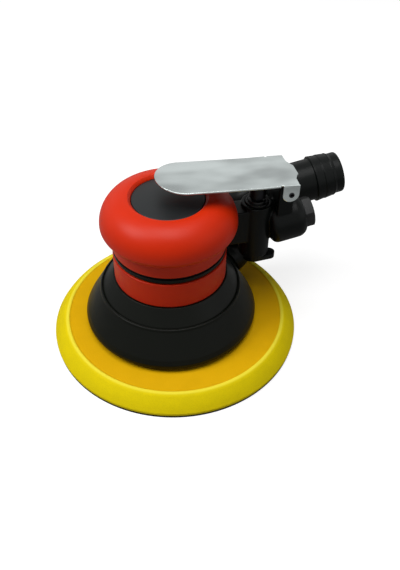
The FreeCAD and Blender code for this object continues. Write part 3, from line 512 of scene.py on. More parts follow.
# ---- meshes
def grid_faces(index: np.ndarray, wrap_rows: bool, wrap_columns: bool) -> np.ndarray:
    """Quads between the neighbours of a grid of vertex numbers."""
    low = index if wrap_rows else index[:-1]
    high = np.roll(index, -1, 0) if wrap_rows else index[1:]
    quads = [low, np.roll(low, -1, 1), np.roll(high, -1, 1), high]
    if not wrap_columns:
        quads = [q[:, :-1] for q in quads]
    return np.stack([q.ravel() for q in quads], axis=1)


def spin(path: np.ndarray, steps: int, closed: bool = True,
         centre: Point = (0.0, 0.0)) -> tuple[np.ndarray, np.ndarray]:
    """Surface of revolution: x = r cos a, y = r sin a, z as in the path.

    Args:
        path: Rows of (r, z); the outside of the solid runs upwards.
        steps: Divisions of the full turn.
        closed: Whether the path joins up with its own start.
        centre: X and Y of the axis.

    Returns:
        Vertices in millimetres, and quads.
    """
    angle = np.linspace(0, math.tau, steps, endpoint=False)
    radius, height = path[:, :1], path[:, 1:]
    spots = np.stack([radius * np.cos(angle) + centre[0], radius * np.sin(angle) + centre[1],
                      height + 0 * angle], axis=-1)
    index = np.arange(len(path) * steps).reshape(len(path), steps)
    return spots.reshape(-1, 3), grid_faces(index, closed, True)


def tilted(spots: np.ndarray, start: Point, pitch_deg: float) -> np.ndarray:
    """Points built round +Z, laid along an axis that leaves start towards +X
    and climbs by the pitch."""
    lean = math.radians(pitch_deg)
    side = np.array([math.sin(lean), 0, -math.cos(lean)])
    way = np.array([math.cos(lean), 0, math.sin(lean)])
    return np.array(start) + spots @ np.array([side, (0, 1, 0), way])


def mesh_of(name: str, spots: np.ndarray, faces: Sequence[np.ndarray]) -> bpy.types.Mesh:
    """Mesh from vertices in millimetres and blocks of faces of equal length.

    Doubled vertices at poles and seams are merged, and the faces of the closed
    result are turned outwards.
    """
    mesh = bpy.data.meshes.new(name)
    mesh.vertices.add(len(spots))
    mesh.vertices.foreach_set("co", (spots * MM).astype(np.float32).ravel())
    loops = np.concatenate([block.ravel() for block in faces])
    sizes = np.concatenate([np.full(len(block), block.shape[1]) for block in faces])
    mesh.loops.add(len(loops))
    mesh.loops.foreach_set("vertex_index", loops.astype(np.int32))
    mesh.polygons.add(len(sizes))
    mesh.polygons.foreach_set("loop_start", (np.cumsum(sizes) - sizes).astype(np.int32))
    mesh.update(calc_edges=True)
    mesh.validate()
    return tidy(mesh)


def spun(name: str, path: np.ndarray, steps: int, closed: bool = True,
         centre: Point = (0.0, 0.0)) -> bpy.types.Mesh:
    """Mesh of an outline turned about an upright axis."""
    spots, quads = spin(path, steps, closed, centre)
    return mesh_of(name, spots, [quads])


def placed(name: str, data: bpy.types.ID) -> bpy.types.Object:
    """New object of the scene that shows the given data."""
    made = bpy.data.objects.new(name, data)
    bpy.context.scene.collection.objects.link(made)
    return made


def tidy(mesh: bpy.types.Mesh, merge: float = 1e-7) -> bpy.types.Mesh:
    """Merge doubled vertices, drop faces without area and face outwards."""
    work = bmesh.new()
    work.from_mesh(mesh)
    bmesh.ops.remove_doubles(work, verts=work.verts, dist=merge)
    bmesh.ops.dissolve_degenerate(work, edges=work.edges, dist=merge)
    bmesh.ops.recalc_face_normals(work, faces=work.faces)
    work.to_mesh(mesh)
    work.free()
    return mesh


class Workshop:
    """Puts finished meshes into the scene and keeps the CAD nodes they stand for."""

    def __init__(self, paints: Paints) -> None:
        """Start with nothing built."""
        self.paints = paints
        self.replaced: set[str] = set()

    def piece(self, name: str, mesh: bpy.types.Mesh, body: Body, slot: str,
              nodes: Sequence[str] = (), crease_deg: float = 38.0) -> bpy.types.Object:
        """Make a mesh a piece of the sander.

        Args:
            name: Name of the piece.
            mesh: Its mesh, in place.
            body: The body that it rides on.
            slot: The record's material slot.
            nodes: CAD nodes that it stands for.
            crease_deg: Edges sharper than this stay crisp.

        Returns:
            The piece.
        """
        mesh.polygons.foreach_set("use_smooth", np.ones(len(mesh.polygons), dtype=bool))
        mesh.set_sharp_from_angle(angle=math.radians(crease_deg))
        mesh.materials.clear()
        mesh.materials.append(self.paints.get(slot))
        made = placed(name, mesh)
        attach(made, body.value)
        if nodes:
            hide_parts(*nodes)
            self.replaced.update(nodes)
        LOG.info("%s: %d faces on %s", name, len(mesh.polygons), body.value)
        return made

    @staticmethod
    def applied(mesh: bpy.types.Mesh, *steps: tuple[str, dict]) -> bpy.types.Mesh:
        """Run modifiers on a mesh and keep the result.

        Args:
            mesh: The mesh to start from.
            steps: Pairs of a modifier's type and its settings.

        Returns:
            The new mesh.
        """
        carrier = placed("carrier", mesh)
        for kind, settings in steps:
            modifier = carrier.modifiers.new(kind.lower(), kind)
            for key, value in settings.items():
                setattr(modifier, key, value)
        graph = bpy.context.evaluated_depsgraph_get()
        result = bpy.data.meshes.new_from_object(carrier.evaluated_get(graph), depsgraph=graph)
        bpy.data.objects.remove(carrier)
        return result

    @staticmethod
    def merged_copy(node: str, flat_deg: float = 0.0) -> bpy.types.Mesh:
        """Copy of a CAD node's mesh with its loose triangles joined up.

        Args:
            node: Name of the CAD node.
            flat_deg: Faces that meet at less than this become one, if above 0.

        Returns:
            The new mesh.
        """
        work = bmesh.new()
        work.from_mesh(frame["nodes"][node].data)
        bmesh.ops.remove_doubles(work, verts=work.verts, dist=2e-6)
        bmesh.ops.dissolve_degenerate(work, edges=work.edges, dist=1e-6)
        if flat_deg > 0:
            bmesh.ops.dissolve_limit(work, angle_limit=math.radians(flat_deg),
                                     verts=work.verts, edges=work.edges)
        mesh = bpy.data.meshes.new(f"{node}_copy")
        work.to_mesh(mesh)
        work.free()
        return mesh

    def eased(self, node: str, body: Body, width_mm: float) -> bpy.types.Object:
        """A CAD node with its sharp edges rounded over.

        Flat faces are made whole first, so that the bevel follows real edges.
        """
        mesh = tidy(self.applied(self.merged_copy(node, 0.4), ("BEVEL", {
            "width": width_mm * MM, "segments": 3, "limit_method": "ANGLE",
            "angle_limit": math.radians(32), "use_clamp_overlap": True, "harden_normals": False})))
        return self.piece(f"{node}_eased", mesh, body, self.paints.slot_of[node], (node,))


# ---- shell
@dataclass
class Shell:
    """Motor cup, soft palm grip, lower ring and top cap, all turned about the
    motor axis."""

    cup_r: float = 29.6
    cup_bore_r: float = 26.4
    cup_z: tuple[float, float] = (42.0, 89.4)
    ceiling_z: float = 84.5
    band_r: float = 32.3
    band_z: tuple[float, float] = (61.32, 65.98)
    groove_depth: float = 1.1
    grip_z: float = 66.1
    neck_r: float = 32.6
    neck_rise: float = 9.6
    under: Point = (6.6, 5.2)
    dome_reach: float = 15.85
    bulge: Point = (38.35, 81.0)
    crown_z: float = 97.0
    cap_r: float = 20.1
    cap_z: float = 95.5
    cap_dome: float = 1.2
    ring_r: float = 32.7
    ring_z: tuple[float, float] = (44.7, 61.2)
    slot_half: float = 6.56
    slot_top: float = 83.06
    gap: float = 0.06
    turn_steps: int = 384

    def cup(self) -> bpy.types.Mesh:
        """Motor cup with the raised band that shows between ring and grip, a
        groove above it and another below."""
        r, bore, (z0, z1) = self.cup_r, self.cup_bore_r, self.cup_z
        (low, high), groove = self.band_z, self.band_r - self.groove_depth
        path = rounded([
            (0, self.ceiling_z), (bore, self.ceiling_z, 0.4), (bore, z0, 0.3), (r, z0, 0.3), (r, low),
            (groove, low), (groove, low + 0.8, 0.2), (self.band_r, low + 1.0, 0.3),
            (self.band_r, high - 1.7, 0.3), (groove, high - 1.4, 0.2), (groove, high), (r, high),
            (r, z1, 2.0), (0, z1)], False)
        return spun("motor_cup", spaced(path, 1.2, False), self.turn_steps, False)

    def lower_ring(self) -> bpy.types.Mesh:
        """Plain ring with softly rounded rims."""
        inner, r, (z0, z1) = self.cup_r + self.gap, self.ring_r, self.ring_z
        path = rounded([(inner, z1, 0.2), (inner, z0, 0.2), (r, z0, 0.8), (r, z1, 0.8)], True)
        return spun("lower_ring_skin", spaced(path, 0.6, True), self.turn_steps)

    def grip_outline(self) -> tuple[np.ndarray, int]:
        """Closed outline of the grip and the number of rows beside the slot.

        It starts inside at the slot's top, runs down the bore, up the outside
        over the crown and back. Rows beside the slot come first, as many down
        the bore as up the outside. Below and above its widest circle the
        outside follows two ellipses that share an upright tangent there.
        """
        inner, neck, z0 = self.cup_r + self.gap, self.neck_r, self.grip_z
        rim, (side, wide_z), top = self.cap_r + 0.3, self.bulge, self.crown_z
        under = np.radians(np.linspace(-52, 0, 30))[:, None]
        over = np.radians(np.linspace(0, 92, 80))[1:, None]
        (reach, drop), dome = self.under, self.dome_reach
        under = np.hstack([side - reach + reach * np.cos(under), wide_z + drop * np.sin(under)])
        over = np.hstack([side - dome + dome * np.cos(over), wide_z + (top - wide_z) * np.sin(over)])
        skirt = rounded([(inner, z0), (neck, z0, 0.7), (neck, z0 + self.neck_rise, 1.6), under[0]],
                        False)
        skirt = spaced(np.vstack([skirt[1:], under, over]), 0.55, False)
        climb = skirt[skirt[:, 1] < top - 5]
        cut_r = np.interp(self.slot_top, climb[:, 1], climb[:, 0])
        low = np.vstack([skirt[skirt[:, 1] < self.slot_top - 0.05], [[cut_r, self.slot_top]]])
        high = skirt[skirt[:, 1] > self.slot_top + 0.05]
        ceiling = self.cup_z[1] + self.gap
        back = spaced(rounded([(rim + 0.5, top - 0.9), (rim, top - 1.6), (rim, ceiling, 0.2),
                               (inner, ceiling, 0.2), (inner, self.slot_top + 0.4)], False), 0.8, False)
        down = np.column_stack([np.full(len(low), inner), low[::-1, 1]])
        return np.vstack([down, low, high, back]), len(low)

    def palm_grip(self) -> bpy.types.Mesh:
        """Mushroom grip with a slot at the back where the neck passes.

        Columns are angles: those beside the slot sit at asin(half width / r)
        in every row, so the slot's walls stay flat. Faces in the slot are left
        out, and walls join the outside to the bore round it.
        """
        path, rows = self.grip_outline()
        slot_columns, rest = 8, self.turn_steps - 8
        half = np.arcsin(self.slot_half / path[:, :1])
        in_slot = np.linspace(-1, 1, slot_columns + 1)[None, :-1] * half
        around = half + (math.tau - 2 * half) * np.linspace(0, 1, rest, endpoint=False)[None, :]
        angle = np.hstack([in_slot, around])
        columns = angle.shape[1]
        spots = np.stack([path[:, :1] * np.cos(angle), path[:, :1] * np.sin(angle),
                          path[:, 1:] + 0 * angle], axis=-1)
        index = np.arange(len(path) * columns).reshape(len(path), columns)
        quads = grid_faces(index, True, True).reshape(len(path), columns, 4)
        kept = np.ones((len(path), columns), dtype=bool)
        kept[:2 * rows - 1, :slot_columns] = False
        blocks = [quads[kept]]
        pairs = np.arange(rows)
        for column in (0, slot_columns):
            inner, outer = index[pairs[::-1], column], index[rows + pairs, column]
            blocks.append(np.stack([inner[:-1], outer[:-1], outer[1:], inner[1:]], axis=1))
        top = np.arange(slot_columns + 1)
        inner, outer = index[0, top], index[2 * rows - 1, top]
        blocks.append(np.stack([inner[:-1], outer[:-1], outer[1:], inner[1:]], axis=1))
        return mesh_of("palm_grip_skin", spots.reshape(-1, 3), blocks)

    def top_cap(self) -> bpy.types.Mesh:
        """Shallow domed cap with a rounded rim, hollow below."""
        r, z, wall = self.cap_r, self.cap_z, 2.4
        floor = self.cup_z[1] + self.gap
        lower = rounded([(0, z - wall + 0.6), (r - wall, z - wall, 0.5), (r - wall, floor, 0.2),
                         (r, floor, 0.2), (r, z - 0.6)], False)
        rim = arc((r, z - 0.55), (r - 0.18, z - 0.12), (r - 0.6, z + 0.05), 8)
        share = np.linspace(0.0, 1.0, 40)[:, None] ** 0.8
        dome_r = (r - 0.6) * (1 - share)
        dome_z = z + 0.05 + (self.cap_dome - 0.05) * (1 - (dome_r / (r - 0.6)) ** 2)
        path = np.vstack([spaced(lower, 0.8, False), rim, np.hstack([dome_r, dome_z])[1:]])
        return spun("top_cap_skin", path, self.turn_steps, False)

    def build(self, shop: Workshop) -> None:
        """Make the four mouldings."""
        shop.piece("motor_cup", self.cup(), Body.HOUSING, "black_composite")
        shop.piece("lower_ring_skin", self.lower_ring(), Body.HOUSING, "red_grip", ("lower_ring",))
        shop.piece("palm_grip_skin", self.palm_grip(), Body.HOUSING, "red_grip", ("palm_grip",), 28)
        shop.piece("top_cap_skin", self.top_cap(), Body.HOUSING, "black_cap", ("top_cap",))


# ---- skirt
@dataclass
class Skirt:
    """Flexible shroud with its raised step and the stub for the duct."""

    rim_r: float = 51.8
    lip_z: float = 14.6
    step_r: float = 40.1
    step_z: float = 35.9
    wall: float = 1.9
    neck_r: float = 33.6
    neck_z: float = 44.7
    cup_r: float = 29.6
    cup_z: float = 42.0
    port_start: Point = (36.0, 23.0, 23.0)
    port_way: Point = (15.0, 7.0, 7.0)
    port_r: tuple[float, float] = (11.14, 9.6)
    port_run: tuple[float, float] = (4.0, 9.1)
    turn_steps: int = 400

    def skirt(self) -> bpy.types.Mesh:
        """The turned skin: rolled lip, long flank, raised step, upper cone."""
        r, z, s, h, t = self.rim_r, self.lip_z, self.step_r, self.step_z, self.wall
        inner = self.cup_r + 0.06
        path = rounded([
            (r - t, z, 0.4), (r, z, 0.6), (r, z + 2.2, 1.6), (r - 1.3, z + 5.2, 2.5),
            (s + 2.1, h - 1.7, 0.8), (s + 1.6, h - 0.3, 0.6), (s + 0.8, h - 0.1, 0.4),
            (s + 0.3, h - 0.9, 0.2), (s - 0.2, h + 0.1, 0.5), (self.neck_r, self.neck_z, 0.5),
            (inner, self.neck_z, 0.2), (inner, self.cup_z), (self.cup_r - 1.2, self.cup_z, 0.2),
            (self.cup_r - 1.2, self.cup_z - 1.0, 0.3), (self.cup_r + t + 1.2, self.cup_z - 1.0, 0.8),
            (s - 2.4, h - 0.6, 0.8), (s - 0.2, h - 2.0, 0.8), (r - 1.3 - t, z + 5.2, 1.5),
            (r - t, z + 1.6, 0.6)], True)
        return spun("shroud_skin", spaced(path, 0.7, True), self.turn_steps)

    def port(self) -> bpy.types.Mesh:
        """Stub that the duct slips over, flared where it leaves the skirt."""
        outer, bore = self.port_r
        s0, s1 = self.port_run
        path = rounded([(outer + 0.9, s0), (outer + 0.6, s0 + 1.2, 1.0), (outer, s0 + 2.2, 0.8),
                        (outer, s1, 0.3), (bore, s1, 0.3), (bore, s0)], True)
        spots, quads = spin(spaced(path, 0.6, True), 120)
        way = Vector(self.port_way).normalized()
        turn = np.array(way.to_track_quat("Z", "Y").to_matrix())
        return mesh_of("shroud_port", spots @ turn.T + np.array(self.port_start), [quads])

    def build(self, shop: Workshop) -> None:
        """Make the skirt and its stub."""
        shop.piece("shroud_skin", self.skirt(), Body.HOUSING, "shroud_rubber", ("shroud",))
        shop.piece("shroud_port", self.port(), Body.HOUSING, "shroud_rubber")


# ---- pad
@dataclass
class SandingPad:
    """Tapered foam pad with a rounded crest and dust holes."""

    centre_x: float = 2.5
    rim_r: float = 74.97
    base_z: float = 1.6
    edge_z: float = 3.2
    crest_r: float = 66.4
    crest_z: float = 11.8
    top_z: float = 11.2
    plate_r: float = 48.26
    floor_z: float = 8.6
    hole_r: float = 6.5
    hole_pcd_r: float = 40.0
    hole_count: int = 6
    swell: float = 0.35
    knee: Point = (2.6, 1.2)
    crest_round: float = 1.1
    slide_w: float = 1.8
    turn_steps: int = 420

    def outline(self) -> np.ndarray:
        """Outline from the floor's middle to the base's middle.

        The flank between rim and knee swells outwards by a sine of its
        length, as cut foam does under its skin. A quadratic curve rounds the
        crest, and half a cosine lets it down to the flat top.
        """
        r, crest, crest_z = self.rim_r, self.crest_r, self.crest_z
        knee = np.array([crest + self.knee[0], crest_z - self.knee[1]])
        foot = np.array([r, self.edge_z])
        share = np.linspace(0, 1, 30)[:-1, None]
        run = knee - foot
        out = np.array([run[1], -run[0]]) / np.hypot(*run)
        bow = foot + run * share + out * np.sin(share * math.pi) * self.swell
        bow[:, 0] = np.minimum(bow[:, 0], r)
        base = rounded([(0, self.base_z), (r, self.base_z, 0.35), (r, self.edge_z - 0.3)], False)
        t = np.linspace(0, 1, 16)[:, None]
        corner, peak = np.array([crest + self.crest_round, crest_z]), np.array([crest, crest_z])
        crown = (1 - t) ** 2 * knee + 2 * t * (1 - t) * corner + t ** 2 * peak
        slide = np.hstack([crest - t * self.slide_w,
                           self.top_z + (crest_z - self.top_z) * (0.5 + 0.5 * np.cos(t * math.pi))])[1:]
        top = rounded([(crest - self.slide_w - 0.2, self.top_z), (self.plate_r, self.top_z, 0.3),
                       (self.plate_r, self.floor_z), (0, self.floor_z)], False)
        return spaced(np.vstack([base, bow, crown, slide, top]), 1.4, False)

    def drills(self) -> bpy.types.Mesh:
        """Six upright cylinders through the foam."""
        bar = np.array([(0, -2.0), (self.hole_r, -2.0), (self.hole_r, 14.0), (0, 14.0)])
        blocks, spots, count = [], [], 0
        for i in range(self.hole_count):
            turn = math.tau * i / self.hole_count
            x, y = self.hole_pcd_r * math.cos(turn), self.hole_pcd_r * math.sin(turn)
            some, quads = spin(bar, 64, False, (self.centre_x + x, y))
            spots.append(some)
            blocks.append(quads + count)
            count += len(some)
        return mesh_of("dust_drills", np.vstack(spots), blocks)

    def build(self, shop: Workshop) -> None:
        """Make the foam and drill its dust holes."""
        blank = spun("pad_foam_blank", self.outline(), self.turn_steps, False, (self.centre_x, 0.0))
        drill = placed("dust_drills", self.drills())
        foam = shop.applied(blank, ("BOOLEAN", {"operation": "DIFFERENCE", "object": drill,
                                                "solver": "EXACT"}))
        bpy.data.objects.remove(drill)
        made = shop.piece("pad_foam_skin", tidy(foam), Body.PAD, "yellow_foam", ("pad_foam",), 42)


# ---- handle
@dataclass
class Handle:
    """Moulded neck, valve tower and inlet body, with the parts that show on
    it."""

    cut_x: float = 31.5
    voxel: float = 0.42
    soften: int = 9
    valve_x: float = 50.6
    spring_foot: float = 58.2
    valve_travel: float = 1.75

    def skin(self, shop: Workshop) -> bpy.types.Mesh:
        """One soft skin over the moulded handle.

        The CAD moulding is cut off where it enters the grip, its surface is
        drawn again on an even grid of voxels, and each point then moves
        towards the mean of its neighbours, which rounds the inner corners
        where the tower, neck and inlet body meet.
        """
        mesh = shop.merged_copy("housing")
        work = bmesh.new()
        work.from_mesh(mesh)
        whole = list(work.verts) + list(work.edges) + list(work.faces)
        cut = bmesh.ops.bisect_plane(work, geom=whole, plane_co=(self.cut_x * MM, 0, 0),
                                     plane_no=(-1, 0, 0), clear_outer=True)
        rim = [e for e in cut["geom_cut"] if isinstance(e, bmesh.types.BMEdge)]
        bmesh.ops.triangle_fill(work, use_beauty=True, edges=rim)
        bmesh.ops.recalc_face_normals(work, faces=work.faces)
        work.to_mesh(mesh)
        work.free()
        made = shop.applied(mesh, ("REMESH", {"mode": "VOXEL", "voxel_size": self.voxel * MM}),
                            ("SMOOTH", {"factor": 0.5, "iterations": self.soften}))
        made.name = "handle_moulding"
        return made

    def build(self, shop: Workshop) -> None:
        """Make the skin and ease the edges of the small parts."""
        shop.piece("handle_moulding", self.skin(shop), Body.HOUSING, "black_composite",
                   ("housing",), 60)
        for node, body, width in (
                ("valve_bushing", Body.HOUSING, 0.15), ("inlet_bushing", Body.HOUSING, 0.25),
                ("vacuum_duct", Body.HOUSING, 0.3), ("duct_screws", Body.HOUSING, 0.15),
                ("lever_pin", Body.HOUSING, 0.2), ("valve_stem", Body.VALVE, 0.2),
                ("regulator_lever", Body.REGULATOR, 1.1), ("regulator_screw", Body.REGULATOR, 0.12)):
            shop.eased(node, body, width)
        self.spring(shop)

    def spring(self, shop: Workshop) -> None:
        """The valve's return spring, a merged copy of the CAD spring."""
        mesh = shop.merged_copy("valve_spring")
        made = shop.piece("valve_return_spring", mesh, Body.HOUSING, "spring_steel",
                          ("valve_spring",))
        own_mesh(made)


# ---- lever
@dataclass
class TriggerLever:
    """Pressed stainless lever: crowned plate, two folded ears, rear tongue."""

    nose_x: float = -6.85
    half_w: float = 15.3
    shoulder_x: float = 68.5
    tail_x: float = 71.7
    tongue_half: float = 4.6
    top_z: float = 108.35
    slope_deg: float = 3.9
    thick: float = 1.2
    edge_r: float = 0.42
    crown: float = 0.45
    notch_x: float = 58.8
    notch_r: float = 0.8
    ear_x: tuple[float, float] = (59.7, 68.9)
    pivot: Point = (64.6, 97.6)
    pin_r: float = 1.55

    def half_width(self, x: np.ndarray) -> np.ndarray:
        """Half the plate's width at x.

        A half circle at the nose, straight sides with a round relief notch
        ahead of each ear, then shoulders that drop to the tongue.
        """
        centre = self.nose_x + self.half_w
        nose = np.sqrt(np.clip(self.half_w ** 2 - np.clip(centre - x, 0, None) ** 2, 0, None))
        notch = np.sqrt(np.clip(self.notch_r ** 2 - (x - self.notch_x) ** 2, 0, None))
        tail = np.interp(x, [self.shoulder_x, self.shoulder_x + 0.35, self.tail_x - 0.8, self.tail_x],
                         [self.half_w, 8.9, self.tongue_half + 0.5, self.tongue_half - 0.3])
        return np.minimum(nose, tail) - notch

    def section(self) -> np.ndarray:
        """Closed cross-section as shares: (-1..1 of the width, edge offset in
        mm, -0.5..0.5 of the thickness)."""
        flat = np.linspace(-1, 1, 41)
        turn = np.linspace(-math.pi / 2, math.pi / 2, 9)[1:-1]
        top = np.column_stack([flat[::-1], 0 * flat, 0 * flat + 0.5])
        left = np.column_stack([0 * turn - 1, np.cos(turn), -0.5 * np.sin(turn)])
        bottom = np.column_stack([flat, 0 * flat, 0 * flat - 0.5])
        right = np.column_stack([0 * turn + 1, np.cos(turn), 0.5 * np.sin(turn)])
        return np.vstack([top, left, bottom, right])

    def plate(self) -> bpy.types.Mesh:
        """Loft of the section along the lever.

        y = share * (half width - edge radius) + edge radius * edge offset;
        z = sloping top - crown * share^2 - half thickness + thickness * level.
        Both ends thin down as a half round, and each closes in a line.
        """
        start = self.nose_x + self.half_w * (1 - np.cos(np.linspace(0, math.pi / 2, 70)))
        body = np.linspace(start[-1], self.notch_x - 1.0, 90)[1:]
        notch = np.linspace(self.notch_x - 1.0, self.notch_x + 1.0, 21)[1:]
        back = np.linspace(self.notch_x + 1.0, self.shoulder_x, 24)[1:]
        rise = np.sin(np.linspace(0, math.pi / 2, 30))[1:]
        tail = self.shoulder_x + (self.tail_x - self.shoulder_x) * rise
        x = np.concatenate([start, body, notch, back, tail])[:, None]
        from_end = np.minimum(x - self.nose_x, self.tail_x - x)
        thin = np.sqrt(np.clip(1 - np.clip(1 - from_end / self.edge_r, 0, 1) ** 2, 0, 1))
        share, offset, level = self.section().T
        half = self.half_width(x)
        edge = np.minimum(self.edge_r, half)
        y = share * (half - edge) + np.sign(share) * edge * offset
        slope = math.tan(math.radians(self.slope_deg))
        sag = self.crown * (y / self.half_w) ** 2 * np.clip((self.ear_x[0] - x) / 12, 0, 1)
        z = self.top_z - x * slope - sag - self.thick / 2 + self.thick * level * thin
        spots = np.stack([x + 0 * y, y, z], axis=-1)
        index = np.arange(spots[..., 0].size).reshape(spots.shape[:2])
        ends = [index[:1], index[-1:, ::-1]]
        return mesh_of("lever_plate", spots.reshape(-1, 3), [grid_faces(index, False, True), *ends])

    def ears(self) -> bpy.types.Mesh:
        """Two flat ears with a round foot, drilled for the pin.

        The outline is a half circle round the pivot with straight sides up to
        the plate; each ear is that outline carried across its thickness.
        """
        (px, pz), (x0, x1) = self.pivot, self.ear_x
        reach = x1 - px
        top = self.top_z - px * math.tan(math.radians(self.slope_deg)) - self.thick * 0.55
        foot = np.linspace(math.pi, math.tau, 33)
        curve = np.column_stack([px + reach * np.cos(foot), pz + reach * np.sin(foot)])
        squeeze = np.where(curve[:, 0] < px, (px - x0) / reach, 1.0)
        curve[:, 0] = px + (curve[:, 0] - px) * squeeze
        outer = np.vstack([[x0, top], curve, [x1, top]])
        outer = spaced(outer, 0.5, True)
        turn = np.arctan2(outer[:, 1] - pz, outer[:, 0] - px)
        hole = np.array(self.pivot) + self.pin_r * np.column_stack([np.cos(turn), np.sin(turn)])
        blocks, spots, count = [], [], 0
        for side in (-1, 1):
            a, b = side * self.half_w, side * (self.half_w - self.thick)
            rows = []
            for loop, depth, inset in ((hole, b, 0), (outer, b, 0.2), (outer, b, 0), (outer, a, 0),
                                       (outer, a, 0.35), (hole, a, 0)):
                pull = (np.array(self.pivot) - loop) * inset / 6
                shift = 0.15 if inset == 0 and loop is outer else 0.0
                y = depth + (shift if depth == b else -shift) * side
                rows.append(np.column_stack([loop[:, 0] + pull[:, 0], np.full(len(loop), y),
                                             loop[:, 1] + pull[:, 1]]))
            index = np.arange(len(rows) * len(outer)).reshape(len(rows), len(outer)) + count
            blocks.append(grid_faces(index, True, True))
            spots.append(np.vstack(rows))
            count += index.size
        return mesh_of("lever_ears", np.vstack(spots), blocks)

    def build(self, shop: Workshop) -> None:
        """Make the plate and the ears."""
        shop.piece("lever_plate", self.plate(), Body.LEVER, "stainless", ("lever",), 50)
        shop.piece("lever_ears", self.ears(), Body.LEVER, "stainless")


# ---- tail
@dataclass
class HoseTail:
    """Swivelling tail with a plain collar, three barbs and a round end."""

    start: Point = (69.7, 30.0, 69.3928)
    pitch_deg: float = 10.0
    spigot: Point = (11.15, -6.8)
    bore_r: float = 9.6
    tube_r: float = 12.9
    barb_at: Point = (26.4, 31.8, 37.3)
    barb_r: Point = (14.1, 13.75, 13.3)
    barb_drop: float = 0.65
    land_r: float = 12.4
    length: float = 43.9

    def outline(self) -> np.ndarray:
        """Closed outline in (radius, distance along the tail)."""
        r, (spigot_r, spigot_end) = self.tube_r, self.spigot
        corners: list[Point] = [
            (self.bore_r, spigot_end, 0.3), (spigot_r, spigot_end, 0.3), (spigot_r, 0.3),
            (r, 0.3, 0.5), (r, self.barb_at[0] - 0.4, 0.3)]
        for i, (at, barb) in enumerate(zip(self.barb_at, self.barb_r)):
            corners.append((barb, at, 0.35))
            if i + 1 < len(self.barb_at):
                corners.append((barb - self.barb_drop, self.barb_at[i + 1] - 0.35, 0.2))
        corners += [(self.land_r, self.length - 5.0, 0.8), (self.land_r, self.length, 1.8),
                    (self.bore_r, self.length, 0.6)]
        return spaced(rounded(corners, True), 0.6, True)

    def build(self, shop: Workshop) -> None:
        """Make the tail."""
        spots, quads = spin(self.outline(), 256)
        mesh = mesh_of("hose_tail_skin", tilted(spots, self.start, self.pitch_deg), [quads])
        shop.piece("hose_tail_skin", mesh, Body.TAIL, "black_composite", ("hose_tail",))


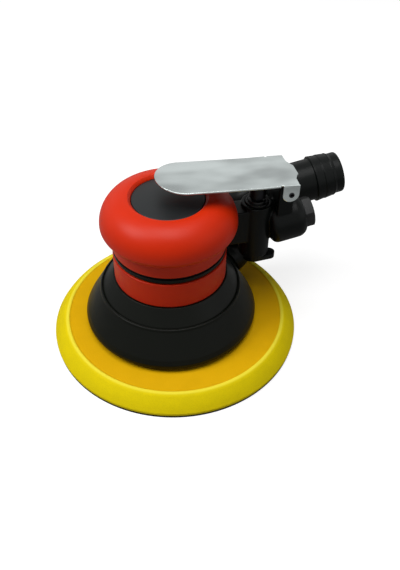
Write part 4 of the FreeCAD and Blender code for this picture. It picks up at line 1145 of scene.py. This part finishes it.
# ---- studio
@dataclass
class Studio:
    """Pale floor, white surroundings, soft lamps and the camera."""

    eye: Point = (-52.2, -283.0, 300.1)
    look: Point = (0.1765, 0.7090, -0.6828)
    roll_deg: float = 0.70
    lens: float = 41.05
    floor_half: float = 2.5
    ambient: float = 0.09
    lamps: tuple[tuple[str, Point, float, float], ...] = field(default_factory=lambda: (
        ("key", (-0.72, 0.02, 0.92), 0.5, 6.4),
        ("fill", (0.75, -0.55, 0.60), 0.7, 0.7),
        ("crown", (0.0, -0.12, 1.15), 0.7, 7.2)))

    def surroundings(self) -> None:
        """White for camera, glossy and transmitted rays, plain grey light
        for everything else."""
        world = bpy.data.worlds.new("surroundings")
        bpy.context.scene.world = world
        g = Graph(world)
        path = g.node("ShaderNodeLightPath").outputs
        either = {"operation": "MAXIMUM"}
        seen = g.number("ShaderNodeMath", either, {0: path["Is Camera Ray"], 1: path["Is Glossy Ray"]})
        seen = g.number("ShaderNodeMath", either, {0: seen, 1: path["Is Transmission Ray"]})
        light = g.node("ShaderNodeBackground", None,
                       {"Strength": seen * (1 - self.ambient) + self.ambient})
        g.node("ShaderNodeOutputWorld", None, {"Surface": light.outputs[0]})

    def floor(self) -> None:
        """Pale matt floor that reads white where no shadow falls."""
        half = self.floor_half
        mesh = bpy.data.meshes.new("floor")
        mesh.from_pydata([(-half, -half, 0), (half, -half, 0), (half, half, 0), (-half, half, 0)],
                         [], [(0, 1, 2, 3)])
        g = Graph.material("floor_paint")
        paper = g.noise(60.0, detail=3.0)
        seen = g.number("ShaderNodeLightPath", None, None, "Is Camera Ray")
        tone = g.blend(paper, (0.36, 0.36, 0.36), (0.38, 0.38, 0.38))
        matt = g.node("ShaderNodeBsdfDiffuse", None, {"Color": tone})
        glow = g.node("ShaderNodeEmission", None, {"Strength": seen * 0.8})
        both = g.node("ShaderNodeAddShader", None, {0: matt.outputs[0], 1: glow.outputs[0]})
        g.node("ShaderNodeOutputMaterial", None, {"Surface": both.outputs[0]})
        mesh.materials.append(g.owner)
        placed("floor", mesh)

    def light(self) -> None:
        """Square soft lamps, each turned towards the middle of the tool."""
        aim = Vector((0.02, 0.0, 0.05))
        for name, spot, size, power in self.lamps:
            lamp = bpy.data.lights.new(name, "AREA")
            lamp.shape, lamp.size, lamp.energy = "SQUARE", size, power
            made = placed(name, lamp)
            made.location = spot
            made.rotation_euler = (aim - Vector(spot)).to_track_quat("-Z", "Y").to_euler()

    def camera(self) -> None:
        """Camera above and in front of the pad, looking down along the lever."""
        lens = bpy.data.cameras.new("camera")
        lens.lens, lens.clip_start, lens.clip_end = self.lens, 0.02, 20.0
        made = placed("camera", lens)
        look = Vector(self.look).normalized()
        right = look.cross(Vector((0, 0, 1))).normalized()
        up = right.cross(look)
        roll = math.radians(self.roll_deg)
        across = right * math.cos(roll) + up * math.sin(roll)
        above = up * math.cos(roll) - right * math.sin(roll)
        turn = Matrix((across, above, -look)).transposed().to_4x4()
        made.matrix_world = Matrix.Translation(Vector(self.eye) * MM) @ turn
        bpy.context.scene.camera = made

    def build(self) -> None:
        """Set up the whole studio."""
        bpy.context.scene.view_settings.view_transform = "Standard"
        self.surroundings()
        self.floor()
        self.light()
        self.camera()


def main() -> None:
    """Build every sub-assembly in order and dress the rest."""
    logging.basicConfig(level=logging.INFO, format="%(name)s %(message)s")
    Studio().build()
    paints = Paints()
    shop = Workshop(paints)
    for assembly in (Shell(), Skirt(), SandingPad(), Handle(), TriggerLever(), HoseTail()):
        assembly.build(shop)
        LOG.info("%s built", type(assembly).__name__)
    LOG.info("%d CAD nodes dressed", paints.dress_nodes(shop.replaced))


if __name__ == "__main__":
    main()
